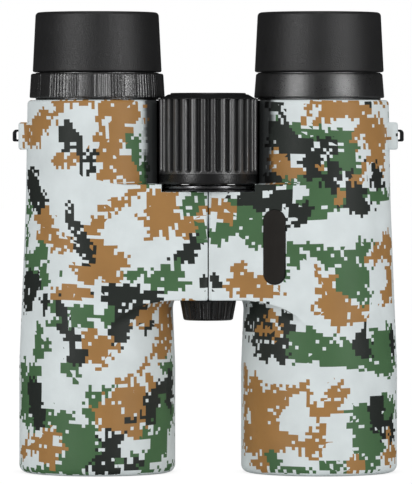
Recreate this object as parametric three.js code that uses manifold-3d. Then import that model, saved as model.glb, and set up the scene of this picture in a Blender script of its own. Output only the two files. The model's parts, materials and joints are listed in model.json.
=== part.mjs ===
// A full-size roof-prism binocular, standing upright on its two objective rims.
// Millimetres. +Z runs along the barrels towards the eyecups, -Y is the side with the focus wheel,
// +X is the side of the user's left eye. The origin is midway between the barrel axes, in the rims' plane.
// Each barrel is built about its own axis with +X pointing away from the hinge, and the right one is mirrored.

import * as THREE from "three";
import { mergeVertices } from "three/addons/utils/BufferGeometryUtils.js";
import Module from "manifold-3d";

const wasm = await Module();
wasm.setup();

// Layout of the two barrels and the hinge.
const BARREL_X = 37; // each barrel axis from the middle plane: 74 mm between the eyes, wide open
const HINGE_Y = -9.5; // hinge axis, in front of the barrel axes
const BODY_TOP = 124; // top of the armour
const BRIDGE_LOW = 57.9;
const BRIDGE_HIGH = 96.1;
const GAP = 0.3; // between neighbouring pieces

// Turned pieces: number of flat sides.
const FINE = 24;
const PLAIN = 18;
const SMALL = 10;

// Armour.
const ARMOUR_RADII = [
  [0, 26],
  [36, 26],
  [60, 25],
  [90, 23.8],
  [BODY_TOP, 23.2],
];
const ARMOUR_WALL = 1.5;
const RIM_ROUND = 2.6; // rounding of the armour's lower rim
const TOP_ROUND = 1.3; // and of its upper edge
const LIP_RADIUS = 21.8; // hole in the armour's front lip
const LIP_HEIGHT = 1.2;
const SADDLE_DIP = 1.9; // how far the bridge sinks between the barrels
const SEAM_REACH = BARREL_X - 0.2; // barrel axis to the seam face
const FILLET = 4; // height of the fillet from the barrel up to the bridge's underside
const FILLET_REACH = 1.6; // and how far it runs out
const SHOULDER_FILLET = 1.2;
const EDGE_ROUND = 0.6;
const HINGE_CLEAR = 9.3; // round pocket both halves keep about the hinge
const COLLAR_RECESS = 15.4; // half width of the recess under the focus wheel
const COLLAR_FLOOR = 93.6;
const UNDERSIDE_ANGLE = THREE.MathUtils.degToRad(57); // where each half's cover ends, below the hinge
const UNDERSIDE_REACH = 10.8;
const WHEEL_SCOOP = 17.2; // round the focus wheel, in the armour
const SHELL_SCOOP = 18.6; // and in the shell under it

// Body shell and its bores.
const SHELL_LOW = LIP_HEIGHT + GAP;
const SHELL_HIGH = BODY_TOP - 0.2;
const OBJECTIVE_BORE = 22.7;
const OBJECTIVE_BORE_END = 17;
const FRONT_BORE = 22;
const FRONT_BORE_END = 51.2;
const FOCUS_BORE = 19.8;
const FOCUS_BORE_END = 74.5;
const PRISM_BORE = 18.6;
const WEB_LOW = 59.3;
const WEB_HIGH = 91.8;
const WEB_TOP = 19.6; // height of the web above the barrel axis, towards the focus wheel
const WEB_UNDER = 22; // distance of the web's underside plane from the barrel axis

// Hinge, from the shaft outwards.
const SHAFT_RADIUS = 6.5;
const SHAFT_BORE = 5;
const SOCKET_BORE = 5.3;
const SHAFT_LOW = 58.3;
const SHAFT_STEP = 65.9;
const SHAFT_HIGH = 110.2;
const KNUCKLE_RADIUS = 9;
const KNUCKLE_BORE = SHAFT_RADIUS + GAP;
const BUSH_RADIUS = 7.6;
const LEFT_KNUCKLES = [
  [59.3, 65.9],
  [86, 93.5],
];
const RIGHT_KNUCKLES = [[75, 85.7]];

// Focusing train.
const ARM_WIDTH = 5;
const ARM_LOW = 69.4;
const ARM_HIGH = 71.5;
const ARM_SLOT_LOW = 66.2;
const ARM_SLOT_HIGH = 74.7;
const PIN_Z = 70.5;
const SCREW_RADIUS = 2.5;
const COLLAR_LOW = COLLAR_FLOOR + GAP;
const COLLAR_HIGH = BRIDGE_HIGH - GAP;
const COLLAR_RING_INNER = 13.7;
const COLLAR_RING_LOW = 94.6;

// Focus wheel.
const WHEEL_LOW = BRIDGE_HIGH;
const WHEEL_HIGH = 126.3;
const WHEEL_RADIUS = 16.5;
const FLUTES = 30;
const FLUTE_DEPTH = 1.1;
const GRIP_LOW = 99.8;
const GRIP_HIGH = 124.2;

// Eyepieces.
const RING_LOW = 124.7;
const RING_HIGH = 132.8;
const NECK_RADIUS = 20.1;
const NECK_LOW = BODY_TOP + 0.1;
const NECK_HIGH = 133.1;
const SEAT_RADIUS = 18.3; // wide part of the eyepiece tube, under the rings
const TUBE_RADIUS = 14.6;
const TUBE_BORE = 12.9;
const TUBE_TOP = 147.6;
const CUP_LOW = 133.3;
const CUP_HIGH = 153.2;

// Strap lugs, measured outwards from the barrel axis.
const LUG_REACH = 26.1;
const LUG_HALF_WIDTH = 6.5;
const LUG_LOW = 107.5;
const LUG_HIGH = 116.6;
const LOOP_ROOT = 22.5;
const LOOP_REACH = 28.1;
const LOOP_LOW = 110.2;
const LOOP_HIGH = 114.2;
const LOOP_HALF_WIDTH = 3;
const LOOP_BAR = 1.1; // thickness of the loop's upright
const LOOP_ARM = 0.7; // and of its two arms

// Badge inlay on the left half of the bridge.
const BADGE_X = -15.2;
const BADGE_Z = 75.5;
const BADGE_HALF_WIDTH = 3.6;
const BADGE_HALF_LENGTH = 12.3;
const BADGE_TOP = 23.7;
const BADGE_THICKNESS = 1.3;

// ---- helpers ----

// Value at z on a chain of [z, value] knots.
function along(knots, z) {
  for (let i = 1; i < knots.length; i += 1) {
    const [z0, v0] = knots[i - 1];
    const [z1, v1] = knots[i];
    if (z <= z1) {
      return v0 + ((v1 - v0) * (z - z0)) / (z1 - z0);
    }
  }
  return knots[knots.length - 1][1];
}

function solid(geometry) {
  const bare = geometry.clone();
  bare.deleteAttribute("normal");
  bare.deleteAttribute("uv");
  const merged = mergeVertices(bare, 1e-4);
  return new wasm.Manifold(
    new wasm.Mesh({
      numProp: 3,
      vertProperties: merged.attributes.position.array,
      triVerts: new Uint32Array(merged.index.array),
    }),
  );
}

function geometryOf(body) {
  const made = body.getMesh();
  const geometry = new THREE.BufferGeometry();
  geometry.setAttribute("position", new THREE.BufferAttribute(made.vertProperties, 3));
  geometry.setIndex(new THREE.BufferAttribute(made.triVerts, 1));
  geometry.computeVertexNormals();
  return geometry;
}

// A body of revolution about Z from a closed outline of [radius, z] points, listed anticlockwise.
// An outline that starts on the axis ends on it; any other closes on itself.
function turned(outline, sides = PLAIN) {
  const points = outline.map(([r, z]) => new THREE.Vector2(r, z));
  if (points[0].x > 0) {
    points.push(points[0].clone());
  }
  const lathe = new THREE.LatheGeometry(points, sides);
  lathe.rotateX(Math.PI / 2);
  return lathe;
}

function disc(radius, low, high, sides = PLAIN) {
  return turned(
    [
      [0, low],
      [radius, low],
      [radius, high],
      [0, high],
    ],
    sides,
  );
}

function tube(inner, outer, low, high, sides = PLAIN) {
  return turned(
    [
      [inner, low],
      [outer, low],
      [outer, high],
      [inner, high],
    ],
    sides,
  );
}

// A lens about Z: its two faces bulge by the given heights at the centre, from the edge heights.
function lens(radius, lowEdge, highEdge, lowBulge, highBulge, sides = PLAIN) {
  const points = [];
  for (const t of [0, 0.6, 1]) {
    points.push([radius * t, lowEdge - lowBulge * (1 - t * t)]);
  }
  for (const t of [1, 0.6, 0]) {
    points.push([radius * t, highEdge + highBulge * (1 - t * t)]);
  }
  return turned(points, sides);
}

function block(x0, x1, y0, y1, z0, z1) {
  const box = new THREE.BoxGeometry(x1 - x0, y1 - y0, z1 - z0);
  box.translate((x0 + x1) / 2, (y0 + y1) / 2, (z0 + z1) / 2);
  return box;
}

// A flat outline in X and Y, raised from one height to another.
function raised(outline, low, high) {
  const shape = new THREE.Shape(outline.map(([x, y]) => new THREE.Vector2(x, y)));
  const geometry = new THREE.ExtrudeGeometry(shape, { depth: high - low, bevelEnabled: false });
  geometry.translate(0, 0, low);
  return geometry;
}

function moved(geometry, x, y, z) {
  geometry.translate(x, y, z);
  return geometry;
}

// The same shape on the other side of the X = 0 plane, with its faces still pointing out.
function mirrored(geometry) {
  const copy = geometry.index ? geometry.toNonIndexed() : geometry.clone();
  copy.scale(-1, 1, 1);
  const xyz = copy.getAttribute("position");
  for (let i = 0; i < xyz.count; i += 3) {
    for (let k = 0; k < 3; k += 1) {
      const kept = xyz.getComponent(i + 1, k);
      xyz.setComponent(i + 1, k, xyz.getComponent(i + 2, k));
      xyz.setComponent(i + 2, k, kept);
    }
  }
  copy.computeVertexNormals();
  return copy;
}

// ---- armour ----

const UNDERSIDE_CORNER = [
  BARREL_X - UNDERSIDE_REACH * Math.cos(UNDERSIDE_ANGLE),
  -HINGE_Y - UNDERSIDE_REACH * Math.sin(UNDERSIDE_ANGLE),
];

// Distance from the barrel axis to the line through two points, along a ray at this angle.
function rayToLine(angle, [u0, v0], [u1, v1]) {
  const c = Math.cos(angle);
  const s = Math.sin(angle);
  return (u0 * v1 - u1 * v0) / (c * (v1 - v0) - s * (u1 - u0));
}

// The saddle between the barrels: level at both ends, a little lower at the seam.
function saddleHeight(u, radius) {
  const t = THREE.MathUtils.clamp(u / SEAM_REACH, 0, 1);
  return radius - SADDLE_DIP * t * t * (3 - 2 * t);
}

function rayToSaddle(angle, radius) {
  let near = 0;
  let far = SEAM_REACH;
  for (let i = 0; i < 30; i += 1) {
    const u = (near + far) / 2;
    if (u * Math.sin(angle) < saddleHeight(u, radius) * Math.cos(angle)) {
      near = u;
    } else {
      far = u;
    }
  }
  return Math.hypot(near, saddleHeight(near, radius));
}

// Outline of one half at the height of the bridge. The angle starts at the direction of the other barrel
// and grows towards the focus wheel's side.
function bridgeRadius(angle, radius) {
  const [cornerU, cornerV] = UNDERSIDE_CORNER;
  const cornerAngle = Math.atan2(cornerV, cornerU);
  const tangentAngle = cornerAngle - Math.acos(radius / Math.hypot(cornerU, cornerV));
  const seamTop = Math.atan2(radius - SADDLE_DIP, SEAM_REACH);
  const seamLow = Math.atan2(-HINGE_Y, SEAM_REACH);
  if (angle >= Math.PI / 2 || angle <= tangentAngle) {
    return radius;
  }
  if (angle < cornerAngle) {
    return radius / Math.cos(angle - tangentAngle);
  }
  if (angle < seamLow) {
    return rayToLine(angle, UNDERSIDE_CORNER, [SEAM_REACH, -HINGE_Y]);
  }
  if (angle < seamTop) {
    return SEAM_REACH / Math.cos(angle);
  }
  return rayToSaddle(angle, radius);
}

// The bridge's lower edge sweeps down as it runs out onto the barrel.
function bridgeLowEdge(angle) {
  const fall = 12;
  const reach = 30;
  const flat = 10;
  const u = bridgeRadius(angle, along(ARMOUR_RADII, BRIDGE_LOW)) * Math.cos(angle);
  const t = angle > 0 ? THREE.MathUtils.clamp((BARREL_X - u - flat) / reach, 0, 1) : 0;
  return BRIDGE_LOW - fall * t * t;
}

// The armour's outline up one side, as [z, radius] points.
function armourProfile(angle) {
  const low = bridgeLowEdge(angle);
  const point = (z, swell) => {
    const radius = along(ARMOUR_RADII, z);
    return [z, radius + swell(bridgeRadius(angle, radius) - radius)];
  };
  const none = () => 0;
  const upTo = (limit) => (rise) => Math.min(rise, limit);
  const edge = (limit) => (rise) => Math.max(Math.min(rise, limit), rise - EDGE_ROUND);
  return [
    point(0, () => -RIM_ROUND),
    point(0.3 * RIM_ROUND, () => -0.3 * RIM_ROUND),
    point(RIM_ROUND, none),
    point(36, none),
    point(low - FILLET, none),
    point(low - 0.4 * FILLET, upTo(0.2 * FILLET_REACH)),
    point(low - 0.12 * FILLET, upTo(0.52 * FILLET_REACH)),
    point(low, upTo(FILLET_REACH)),
    point(low + 0.2 * EDGE_ROUND, edge(FILLET_REACH)),
    point(low + 1.4 * EDGE_ROUND, (rise) => rise),
    point(76.8, (rise) => rise),
    point(BRIDGE_HIGH - 1.4 * EDGE_ROUND, (rise) => rise),
    point(BRIDGE_HIGH - 0.2 * EDGE_ROUND, edge(SHOULDER_FILLET)),
    point(BRIDGE_HIGH, upTo(SHOULDER_FILLET)),
    point(BRIDGE_HIGH + SHOULDER_FILLET, none),
    point(BODY_TOP - TOP_ROUND, none),
    point(BODY_TOP - 0.3 * TOP_ROUND, () => -0.3 * TOP_ROUND),
    point(BODY_TOP, () => -TOP_ROUND),
  ];
}

function armourAngles() {
  const bridge = [-37, -30, -22, -14, -6, 0.8, 8, 14.4, 20, 26, 31.2, 36, 43, 51, 60, 70, 80];
  const degrees = [...bridge];
  for (let i = 0; i < 16; i += 1) {
    degrees.push(90 + (i * (323 - 90)) / 16);
  }
  return degrees.map((d) => THREE.MathUtils.degToRad(d > 180 ? d - 360 : d));
}

// A closed skin through the profiles taken at each angle.
function armourSkin() {
  const columns = armourAngles().map((angle) => ({ angle, profile: armourProfile(angle) }));
  const rows = columns[0].profile.length;
  const count = columns.length;
  const xyz = [];
  for (let i = 0; i < rows; i += 1) {
    for (const { angle, profile } of columns) {
      const [z, r] = profile[i];
      xyz.push(-r * Math.cos(angle), -r * Math.sin(angle), z);
    }
  }
  const lowCentre = xyz.length / 3;
  xyz.push(0, 0, 0);
  xyz.push(0, 0, BODY_TOP);
  const faces = [];
  for (let j = 0; j < count; j += 1) {
    const next = (j + 1) % count;
    for (let i = 0; i < rows - 1; i += 1) {
      const a = i * count + j;
      const b = i * count + next;
      const c = (i + 1) * count + next;
      const d = (i + 1) * count + j;
      faces.push(a, b, c, a, c, d);
    }
    const top = (rows - 1) * count;
    faces.push(lowCentre, next, j, lowCentre + 1, top + j, top + next);
  }
  const geometry = new THREE.BufferGeometry();
  geometry.setAttribute("position", new THREE.Float32BufferAttribute(xyz, 3));
  geometry.setIndex(faces);
  return geometry;
}

// Outline of the web that carries the hinge, in the barrel's own X and Y, swollen by a margin.
function webOutline(margin) {
  const tangent = THREE.MathUtils.degToRad(-37);
  const under = WEB_UNDER + margin;
  const footU = under * Math.cos(tangent);
  const footV = under * Math.sin(tangent);
  const reach = 17;
  const points = [
    [6, 6],
    [12, WEB_TOP + margin],
    [31, WEB_TOP + margin],
    [34.6 + margin, 17.6],
    [35.6, -HINGE_Y],
    [32.4, 2.9],
    [footU - reach * Math.sin(tangent), footV + reach * Math.cos(tangent)],
    [footU, footV],
  ];
  return points.map(([u, v]) => [-u, -v]).reverse();
}

function armour(side) {
  const bore = turned([
    [0, LIP_HEIGHT],
    [along(ARMOUR_RADII, 0) - ARMOUR_WALL, LIP_HEIGHT],
    [along(ARMOUR_RADII, 36) - ARMOUR_WALL, 36],
    [along(ARMOUR_RADII, 60) - ARMOUR_WALL, 60],
    [along(ARMOUR_RADII, 90) - ARMOUR_WALL, 90],
    [along(ARMOUR_RADII, BODY_TOP) - ARMOUR_WALL, BODY_TOP + 1],
    [0, BODY_TOP + 1],
  ], FINE);
  let body = solid(armourSkin())
    .add(solid(lugBoss()))
    .subtract(solid(bore))
    .subtract(solid(disc(LIP_RADIUS, -1, LIP_HEIGHT + 1, FINE)))
    .subtract(solid(raised(webOutline(GAP), WEB_LOW - GAP, WEB_HIGH + GAP)))
    .subtract(atHinge(disc(HINGE_CLEAR, 50, BRIDGE_HIGH + 1, FINE)))
    .subtract(atHinge(disc(WHEEL_SCOOP, BRIDGE_HIGH, BODY_TOP + 1, FINE)))
    .subtract(atHinge(disc(COLLAR_RECESS, COLLAR_FLOOR, BRIDGE_HIGH + 1, FINE)))
    .subtract(atHinge(block(-COLLAR_RECESS, COLLAR_RECESS, -20, 0, COLLAR_FLOOR, BRIDGE_HIGH + 0.2)));
  for (const cut of lugCuts()) {
    body = body.subtract(solid(cut));
  }
  if (side === "left") {
    body = body.subtract(solid(badgeShape(GAP, BADGE_TOP - BADGE_THICKNESS - GAP, 40)));
  }
  return geometryOf(body);
}

function atHinge(geometry) {
  return solid(moved(geometry, -BARREL_X, HINGE_Y, 0));
}

// The rubber boss that holds the strap loop, and the two slots for the loop's arms.
function lugBoss() {
  const corner = 2.5;
  return raised(
    [
      [12, -LUG_HALF_WIDTH],
      [LUG_REACH - corner, -LUG_HALF_WIDTH],
      [LUG_REACH, corner - LUG_HALF_WIDTH],
      [LUG_REACH, LUG_HALF_WIDTH - corner],
      [LUG_REACH - corner, LUG_HALF_WIDTH],
      [12, LUG_HALF_WIDTH],
    ],
    LUG_LOW,
    LUG_HIGH,
  );
}

function lugCuts() {
  const half = LOOP_HALF_WIDTH + GAP;
  return [LOOP_LOW, LOOP_HIGH - LOOP_ARM].map((low) =>
    block(LOOP_ROOT - GAP, LOOP_REACH, -half, half, low - GAP, low + LOOP_ARM + GAP),
  );
}

// A long plate with round ends, standing on the bridge and facing the focus wheel's side.
function badgeShape(margin, inner, outer) {
  const radius = BADGE_HALF_WIDTH + margin;
  const straight = BADGE_HALF_LENGTH - BADGE_HALF_WIDTH;
  const shape = new THREE.Shape();
  shape.absarc(0, straight, radius, 0, Math.PI, false);
  shape.absarc(0, -straight, radius, Math.PI, 2 * Math.PI, false);
  const plate = new THREE.ExtrudeGeometry(shape, {
    depth: outer - inner,
    bevelEnabled: false,
    curveSegments: 8,
  });
  plate.rotateX(Math.PI / 2);
  return moved(plate, BADGE_X, -inner, BADGE_Z);
}

// ---- body shell ----

function shellOutline() {
  const wall = ARMOUR_WALL + GAP;
  return [
    [OBJECTIVE_BORE, SHELL_LOW],
    [along(ARMOUR_RADII, 0) - wall, SHELL_LOW],
    [along(ARMOUR_RADII, 36) - wall, 36],
    [along(ARMOUR_RADII, 60) - wall, 60],
    [along(ARMOUR_RADII, 90) - wall, 90],
    [along(ARMOUR_RADII, BODY_TOP) - wall, SHELL_HIGH],
    [PRISM_BORE, SHELL_HIGH],
    [PRISM_BORE, FOCUS_BORE_END],
    [FOCUS_BORE, FOCUS_BORE_END],
    [FOCUS_BORE, FRONT_BORE_END],
    [FRONT_BORE, FRONT_BORE_END],
    [FRONT_BORE, OBJECTIVE_BORE_END],
    [OBJECTIVE_BORE, OBJECTIVE_BORE_END],
  ];
}

// The straight bar between hinge and barrel axis, in the barrel's frame, from one distance to another.
function towardsHinge(width, near, far, low, high) {
  const bar = block(near, far, -width / 2, width / 2, low, high);
  bar.rotateZ(Math.atan2(HINGE_Y, -BARREL_X));
  return bar;
}

function bodyShell(side) {
  const own = side === "left" ? LEFT_KNUCKLES : RIGHT_KNUCKLES;
  const bore = side === "left" ? KNUCKLE_BORE : BUSH_RADIUS + GAP;
  const hingeDistance = Math.hypot(BARREL_X, HINGE_Y);
  let web = solid(raised(webOutline(0), WEB_LOW, WEB_HIGH)).subtract(
    atHinge(disc(HINGE_CLEAR, WEB_LOW - 1, WEB_HIGH + 1, PLAIN)),
  );
  for (const [low, high] of own) {
    web = web.add(atHinge(disc(KNUCKLE_RADIUS, low, high, PLAIN)));
    web = web.add(
      solid(towardsHinge(10, 20, hingeDistance - 2, low, Math.min(high, WEB_HIGH))),
    );
  }
  const hollow = turned([
    [0, SHELL_LOW - 1],
    [FOCUS_BORE, SHELL_LOW - 1],
    [FOCUS_BORE, FOCUS_BORE_END],
    [PRISM_BORE, FOCUS_BORE_END],
    [PRISM_BORE, SHELL_HIGH + 1],
    [0, SHELL_HIGH + 1],
  ], FINE);
  return geometryOf(
    web
      .subtract(solid(hollow))
      .add(solid(turned(shellOutline(), FINE)))
      .subtract(atHinge(disc(bore, SHELL_LOW, SHELL_HIGH, PLAIN)))
      .subtract(atHinge(disc(SHELL_SCOOP, COLLAR_FLOOR, SHELL_HIGH + 1, FINE)).subtract(
        atHinge(disc(KNUCKLE_RADIUS + 0.01, COLLAR_FLOOR - 5, COLLAR_FLOOR + 0.1, PLAIN)),
      ))
      .subtract(solid(towardsHinge(ARM_WIDTH + 1, 14, hingeDistance, ARM_SLOT_LOW, ARM_SLOT_HIGH))),
  );
}

// ---- optics ----

function objectiveCell() {
  return turned([
    [21.6, 2.4],
    [OBJECTIVE_BORE - GAP, 2.4],
    [OBJECTIVE_BORE - GAP, 16.6],
    [20.2, 16.6],
    [20.2, 15],
    [21.6, 15],
  ], FINE);
}

function objectiveRing() {
  return turned([
    [20.3, 4.6],
    [20.6, 4.2],
    [21.3, 4.2],
    [21.3, 6.6],
    [20.3, 6.6],
  ], FINE);
}

function prismCage() {
  const pocket = block(-10.3, 10.3, -11.4, 11.4, 68.9, 113.2);
  return geometryOf(solid(disc(18.3, 75, 108)).subtract(solid(pocket)));
}

// A prism from an outline in Y and Z, centred on the barrel axis across its width.
function prism(outline, halfWidth) {
  const shape = new THREE.Shape(outline.map(([y, z]) => new THREE.Vector2(y, z)));
  const geometry = new THREE.ExtrudeGeometry(shape, { depth: 2 * halfWidth, bevelEnabled: false });
  geometry.translate(0, 0, -halfWidth);
  geometry.rotateY(Math.PI / 2);
  geometry.rotateX(Math.PI / 2);
  return geometry;
}

const PRISM_HALF_WIDTH = 10;

function halfPentaPrism() {
  return prism(
    [
      [-10.5, 76.8],
      [10.5, 76.8],
      [10.5, 85.1],
      [-10.5, 93.7],
    ],
    PRISM_HALF_WIDTH,
  );
}

// The roof prism's sloping back is two faces that meet at a ridge.
function roofPrism() {
  const slope = Math.atan2(6.5, -8);
  const ridgeDepth = 11;
  const body = solid(
    prism(
      [
        [-10.5, 94.4],
        [10.5, 85.8],
        [10.5, 99.9],
        [2.5, 106.3],
        [-10.5, 106.3],
      ],
      PRISM_HALF_WIDTH,
    ),
  );
  const roof = prism(
    [
      [-40, -40],
      [40, -40],
      [40, 0],
      [-40, 0],
    ],
    PRISM_HALF_WIDTH + 1,
  );
  const faces = [];
  for (const sign of [-1, 1]) {
    const half = roof.clone();
    half.rotateY((sign * Math.PI) / 4);
    half.translate(0, 0, ridgeDepth * 0.02);
    half.rotateX(slope - Math.PI);
    half.translate(0, 6.5, 103.1);
    faces.push(solid(half));
  }
  return geometryOf(body.intersect(faces[0].add(faces[1])));
}

function focusCell() {
  const hingeDistance = Math.hypot(BARREL_X, HINGE_Y);
  const tip = 7.6;
  const arm = solid(towardsHinge(ARM_WIDTH, 18, hingeDistance - 4, ARM_LOW, ARM_HIGH)).subtract(
    atHinge(disc(tip, ARM_LOW - 1, ARM_HIGH + 1)),
  );
  const ring = turned([
    [17, 58.5],
    [19.5, 58.5],
    [19.5, 71.8],
    [17, 71.8],
  ], FINE);
  return geometryOf(arm.subtract(solid(disc(17.5, 50, 90))).add(solid(ring)));
}

// ---- eyepieces ----

function eyepieceTube(side) {
  const body = turned([
    [TUBE_BORE, 108.4],
    [SEAT_RADIUS, 108.4],
    [SEAT_RADIUS, RING_HIGH + 0.2],
    [TUBE_RADIUS, RING_HIGH + 0.2],
    [TUBE_RADIUS, TUBE_TOP],
    [TUBE_BORE, TUBE_TOP],
    [TUBE_BORE, 138.7],
    [11.4, 138.7],
    [11.4, 136.8],
    [TUBE_BORE, 136.8],
  ], FINE);
  if (side === "left") {
    return body;
  }
  const slot = block(10, 20, -1.1, 1.1, 126.8, 131.4);
  return geometryOf(solid(body).subtract(solid(slot)));
}

// The ring's narrower neck fills the gap down to the body, and a low step the gap up to the eyecup.
function ringOutline(lowRadius, highRadius) {
  return [
    [SEAT_RADIUS + GAP, NECK_LOW],
    [NECK_RADIUS, NECK_LOW],
    [NECK_RADIUS, RING_LOW],
    [lowRadius, RING_LOW],
    [highRadius, RING_HIGH - 0.4],
    [highRadius - 0.4, RING_HIGH],
    [NECK_RADIUS, RING_HIGH],
    [NECK_RADIUS, NECK_HIGH],
    [SEAT_RADIUS + GAP, NECK_HIGH],
  ];
}

function diopterRing() {
  return turned([
    ...ringOutline(22.5, 22.05),
    [SEAT_RADIUS + GAP, 131.9],
    [20.2, 131.6],
    [20.2, 126.6],
    [SEAT_RADIUS + GAP, 126.3],
  ], FINE);
}

function eyepieceRing() {
  return turned(ringOutline(21.65, 21), FINE);
}

function diopterCell() {
  const hole = disc(1.1, 8, 16, SMALL);
  hole.rotateY(Math.PI / 2);
  hole.translate(0, 0, 129.1);
  return geometryOf(solid(tube(11.2, TUBE_BORE - GAP, 117, 131.4)).add(
    solid(tube(10.4, TUBE_BORE - GAP, 116.6, 117.6)),
  ).subtract(solid(hole)));
}

function diopterPin() {
  const pin = disc(0.8, 11.9, 19.9, SMALL);
  pin.rotateY(Math.PI / 2);
  pin.translate(0, 0, 129.1);
  return pin;
}

function eyecupCore() {
  return turned([
    [16.3, 134.1],
    [17.8, 134.1],
    [17.8, 149.6],
    [12.4, 149.6],
    [12.4, 148.1],
    [16.3, 148.1],
  ], FINE);
}

function eyecupRubber() {
  return turned([
    [18.1, CUP_LOW],
    [21.1, CUP_LOW],
    [21.45, CUP_LOW + 0.4],
    [20.5, CUP_HIGH - 1.1],
    [20.15, CUP_HIGH - 0.35],
    [19.4, CUP_HIGH],
    [17.2, CUP_HIGH],
    [16.4, CUP_HIGH - 0.5],
    [14.8, 149.9],
    [18.1, 149.9],
  ], FINE);
}

// ---- strap loop ----

// A staple seen from the front: an upright bar on two arms that run into the armour's boss.
function strapLoop() {
  const bend = 0.9;
  const inside = LOOP_REACH - LOOP_BAR;
  const outline = [
    [LOOP_ROOT, LOOP_LOW],
    [LOOP_REACH - 0.5 * bend, LOOP_LOW],
    [LOOP_REACH, LOOP_LOW + 0.5 * bend],
    [LOOP_REACH, LOOP_HIGH - bend],
    [LOOP_REACH - bend, LOOP_HIGH],
    [LOOP_ROOT, LOOP_HIGH],
    [LOOP_ROOT, LOOP_HIGH - LOOP_ARM],
    [inside, LOOP_HIGH - LOOP_ARM],
    [inside, LOOP_LOW + LOOP_ARM],
    [LOOP_ROOT, LOOP_LOW + LOOP_ARM],
  ];
  const staple = raised(outline, -LOOP_HALF_WIDTH, LOOP_HALF_WIDTH);
  staple.rotateX(Math.PI / 2);
  return staple;
}

// ---- hinge, focus wheel and tripod socket, about the hinge axis ----

function hingeShaft() {
  const body = turned([
    [SOCKET_BORE, SHAFT_LOW],
    [SHAFT_RADIUS, SHAFT_LOW],
    [SHAFT_RADIUS, SHAFT_HIGH],
    [SHAFT_BORE, SHAFT_HIGH],
    [SHAFT_BORE, SHAFT_STEP],
    [SOCKET_BORE, SHAFT_STEP],
  ]);
  const slot = block(-1.3, 1.3, 0, 10, 67.2, 73.7);
  return geometryOf(solid(body).subtract(solid(slot)));
}

function focusCollar() {
  return turned([
    [SHAFT_RADIUS + GAP, COLLAR_LOW],
    [15.1, COLLAR_LOW],
    [15.1, COLLAR_RING_LOW - 0.2],
    [COLLAR_RING_INNER - GAP, COLLAR_RING_LOW - 0.2],
    [COLLAR_RING_INNER - GAP, COLLAR_HIGH],
    [SHAFT_RADIUS + GAP, COLLAR_HIGH],
  ], FINE);
}

function wheelCore() {
  return turned([
    [SHAFT_RADIUS + GAP, WHEEL_LOW],
    [9, WHEEL_LOW],
    [9, 116.1],
    [12, 116.1],
    [12, WHEEL_LOW],
    [15.9, WHEEL_LOW],
    [16.3, WHEEL_LOW + 0.4],
    [16.3, 99.4],
    [14.2, 99.4],
    [14.2, 123.9],
    [SCREW_RADIUS + GAP, 123.9],
    [SCREW_RADIUS + GAP, 111.2],
    [SHAFT_RADIUS + GAP, 111.2],
  ], FINE);
}

// A rubber sleeve with round-bottomed grooves all the way round.
function wheelGrip() {
  const shape = new THREE.Shape();
  const points = [];
  const step = (2 * Math.PI) / FLUTES;
  for (let i = 0; i < FLUTES; i += 1) {
    for (const [part, depth] of [
      [0, 0],
      [0.3, 0],
      [0.5, FLUTE_DEPTH],
      [0.8, FLUTE_DEPTH],
    ]) {
      const angle = (i + part) * step;
      const r = WHEEL_RADIUS - depth;
      points.push(new THREE.Vector2(r * Math.cos(angle), r * Math.sin(angle)));
    }
  }
  shape.setFromPoints(points);
  const hole = new THREE.Path();
  hole.absarc(0, 0, 14.5, 0, 2 * Math.PI, true);
  shape.holes.push(hole);
  const sleeve = new THREE.ExtrudeGeometry(shape, {
    depth: GRIP_HIGH - GRIP_LOW,
    bevelEnabled: false,
    curveSegments: FINE / 2,
  });
  return moved(sleeve, 0, 0, GRIP_LOW);
}

function wheelDisc() {
  const profile = [
    [0, 124.4],
    [15.6, 124.4],
    [13.8, 125.7],
    [12.4, 125.9],
    [12.1, WHEEL_HIGH],
    [0, WHEEL_HIGH],
  ];
  return turned(profile, FINE);
}

function sidewaysHole(radius, near, far) {
  const hole = disc(radius, near, far, SMALL);
  hole.rotateX(-Math.PI / 2);
  hole.translate(0, 0, PIN_Z);
  return hole;
}

function focusNut() {
  return geometryOf(
    solid(tube(SCREW_RADIUS + GAP, SHAFT_BORE - GAP, 68.1, 72.8)).subtract(solid(sidewaysHole(1.2, 0, 10))),
  );
}

function focusPin() {
  return sidewaysHole(0.9, 3.1, 7.2);
}

// A grooved collar outside the shaft: the two arms ride in its groove.
function focusCarriage() {
  const inner = SHAFT_RADIUS + GAP;
  const body = turned([
    [inner, 68.1],
    [8.7, 68.1],
    [8.7, 69.1],
    [7.3, 69.1],
    [7.3, 71.8],
    [8.7, 71.8],
    [8.7, 72.8],
    [inner, 72.8],
  ]);
  return geometryOf(solid(body).subtract(solid(sidewaysHole(1.2, 0, 10))));
}

function tripodCap() {
  const knurl = 28;
  return turned([
    [0, 51],
    [7.3, 51],
    [8.2, 51.6],
    [9.3, 57.3],
    [9.1, 57.6],
    [7.2, 57.6],
    [7.2, 56.3],
    [2.9, 56.3],
    [2.9, 64],
    [0, 64],
  ], knurl);
}

// ---- the object ----

const COLOURS = {
  armour: { color: 0x8f9082, roughness: 0.62, metalness: 0 },
  shell: { color: 0x202123, roughness: 0.6, metalness: 0 },
  blackRubber: { color: 0x1b1b1c, roughness: 0.75, metalness: 0 },
  satinBlack: { color: 0x242527, roughness: 0.42, metalness: 0.1 },
  blackMetal: { color: 0x1d1e20, roughness: 0.38, metalness: 0.7 },
  brightMetal: { color: 0xb9bcc0, roughness: 0.25, metalness: 1 },
  steel: { color: 0x8c9096, roughness: 0.35, metalness: 1 },
  brass: { color: 0xa88a4c, roughness: 0.4, metalness: 1 },
  badge: { color: 0x292623, roughness: 0.45, metalness: 0 },
  coatedGlass: { color: 0x5a7f66, roughness: 0.05, metalness: 0 },
  glass: { color: 0xcfd8da, roughness: 0.05, metalness: 0 },
};

function piece(name, geometry, look) {
  const mesh = new THREE.Mesh(geometry, new THREE.MeshStandardMaterial(COLOURS[look]));
  mesh.name = name;
  return mesh;
}

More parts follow.
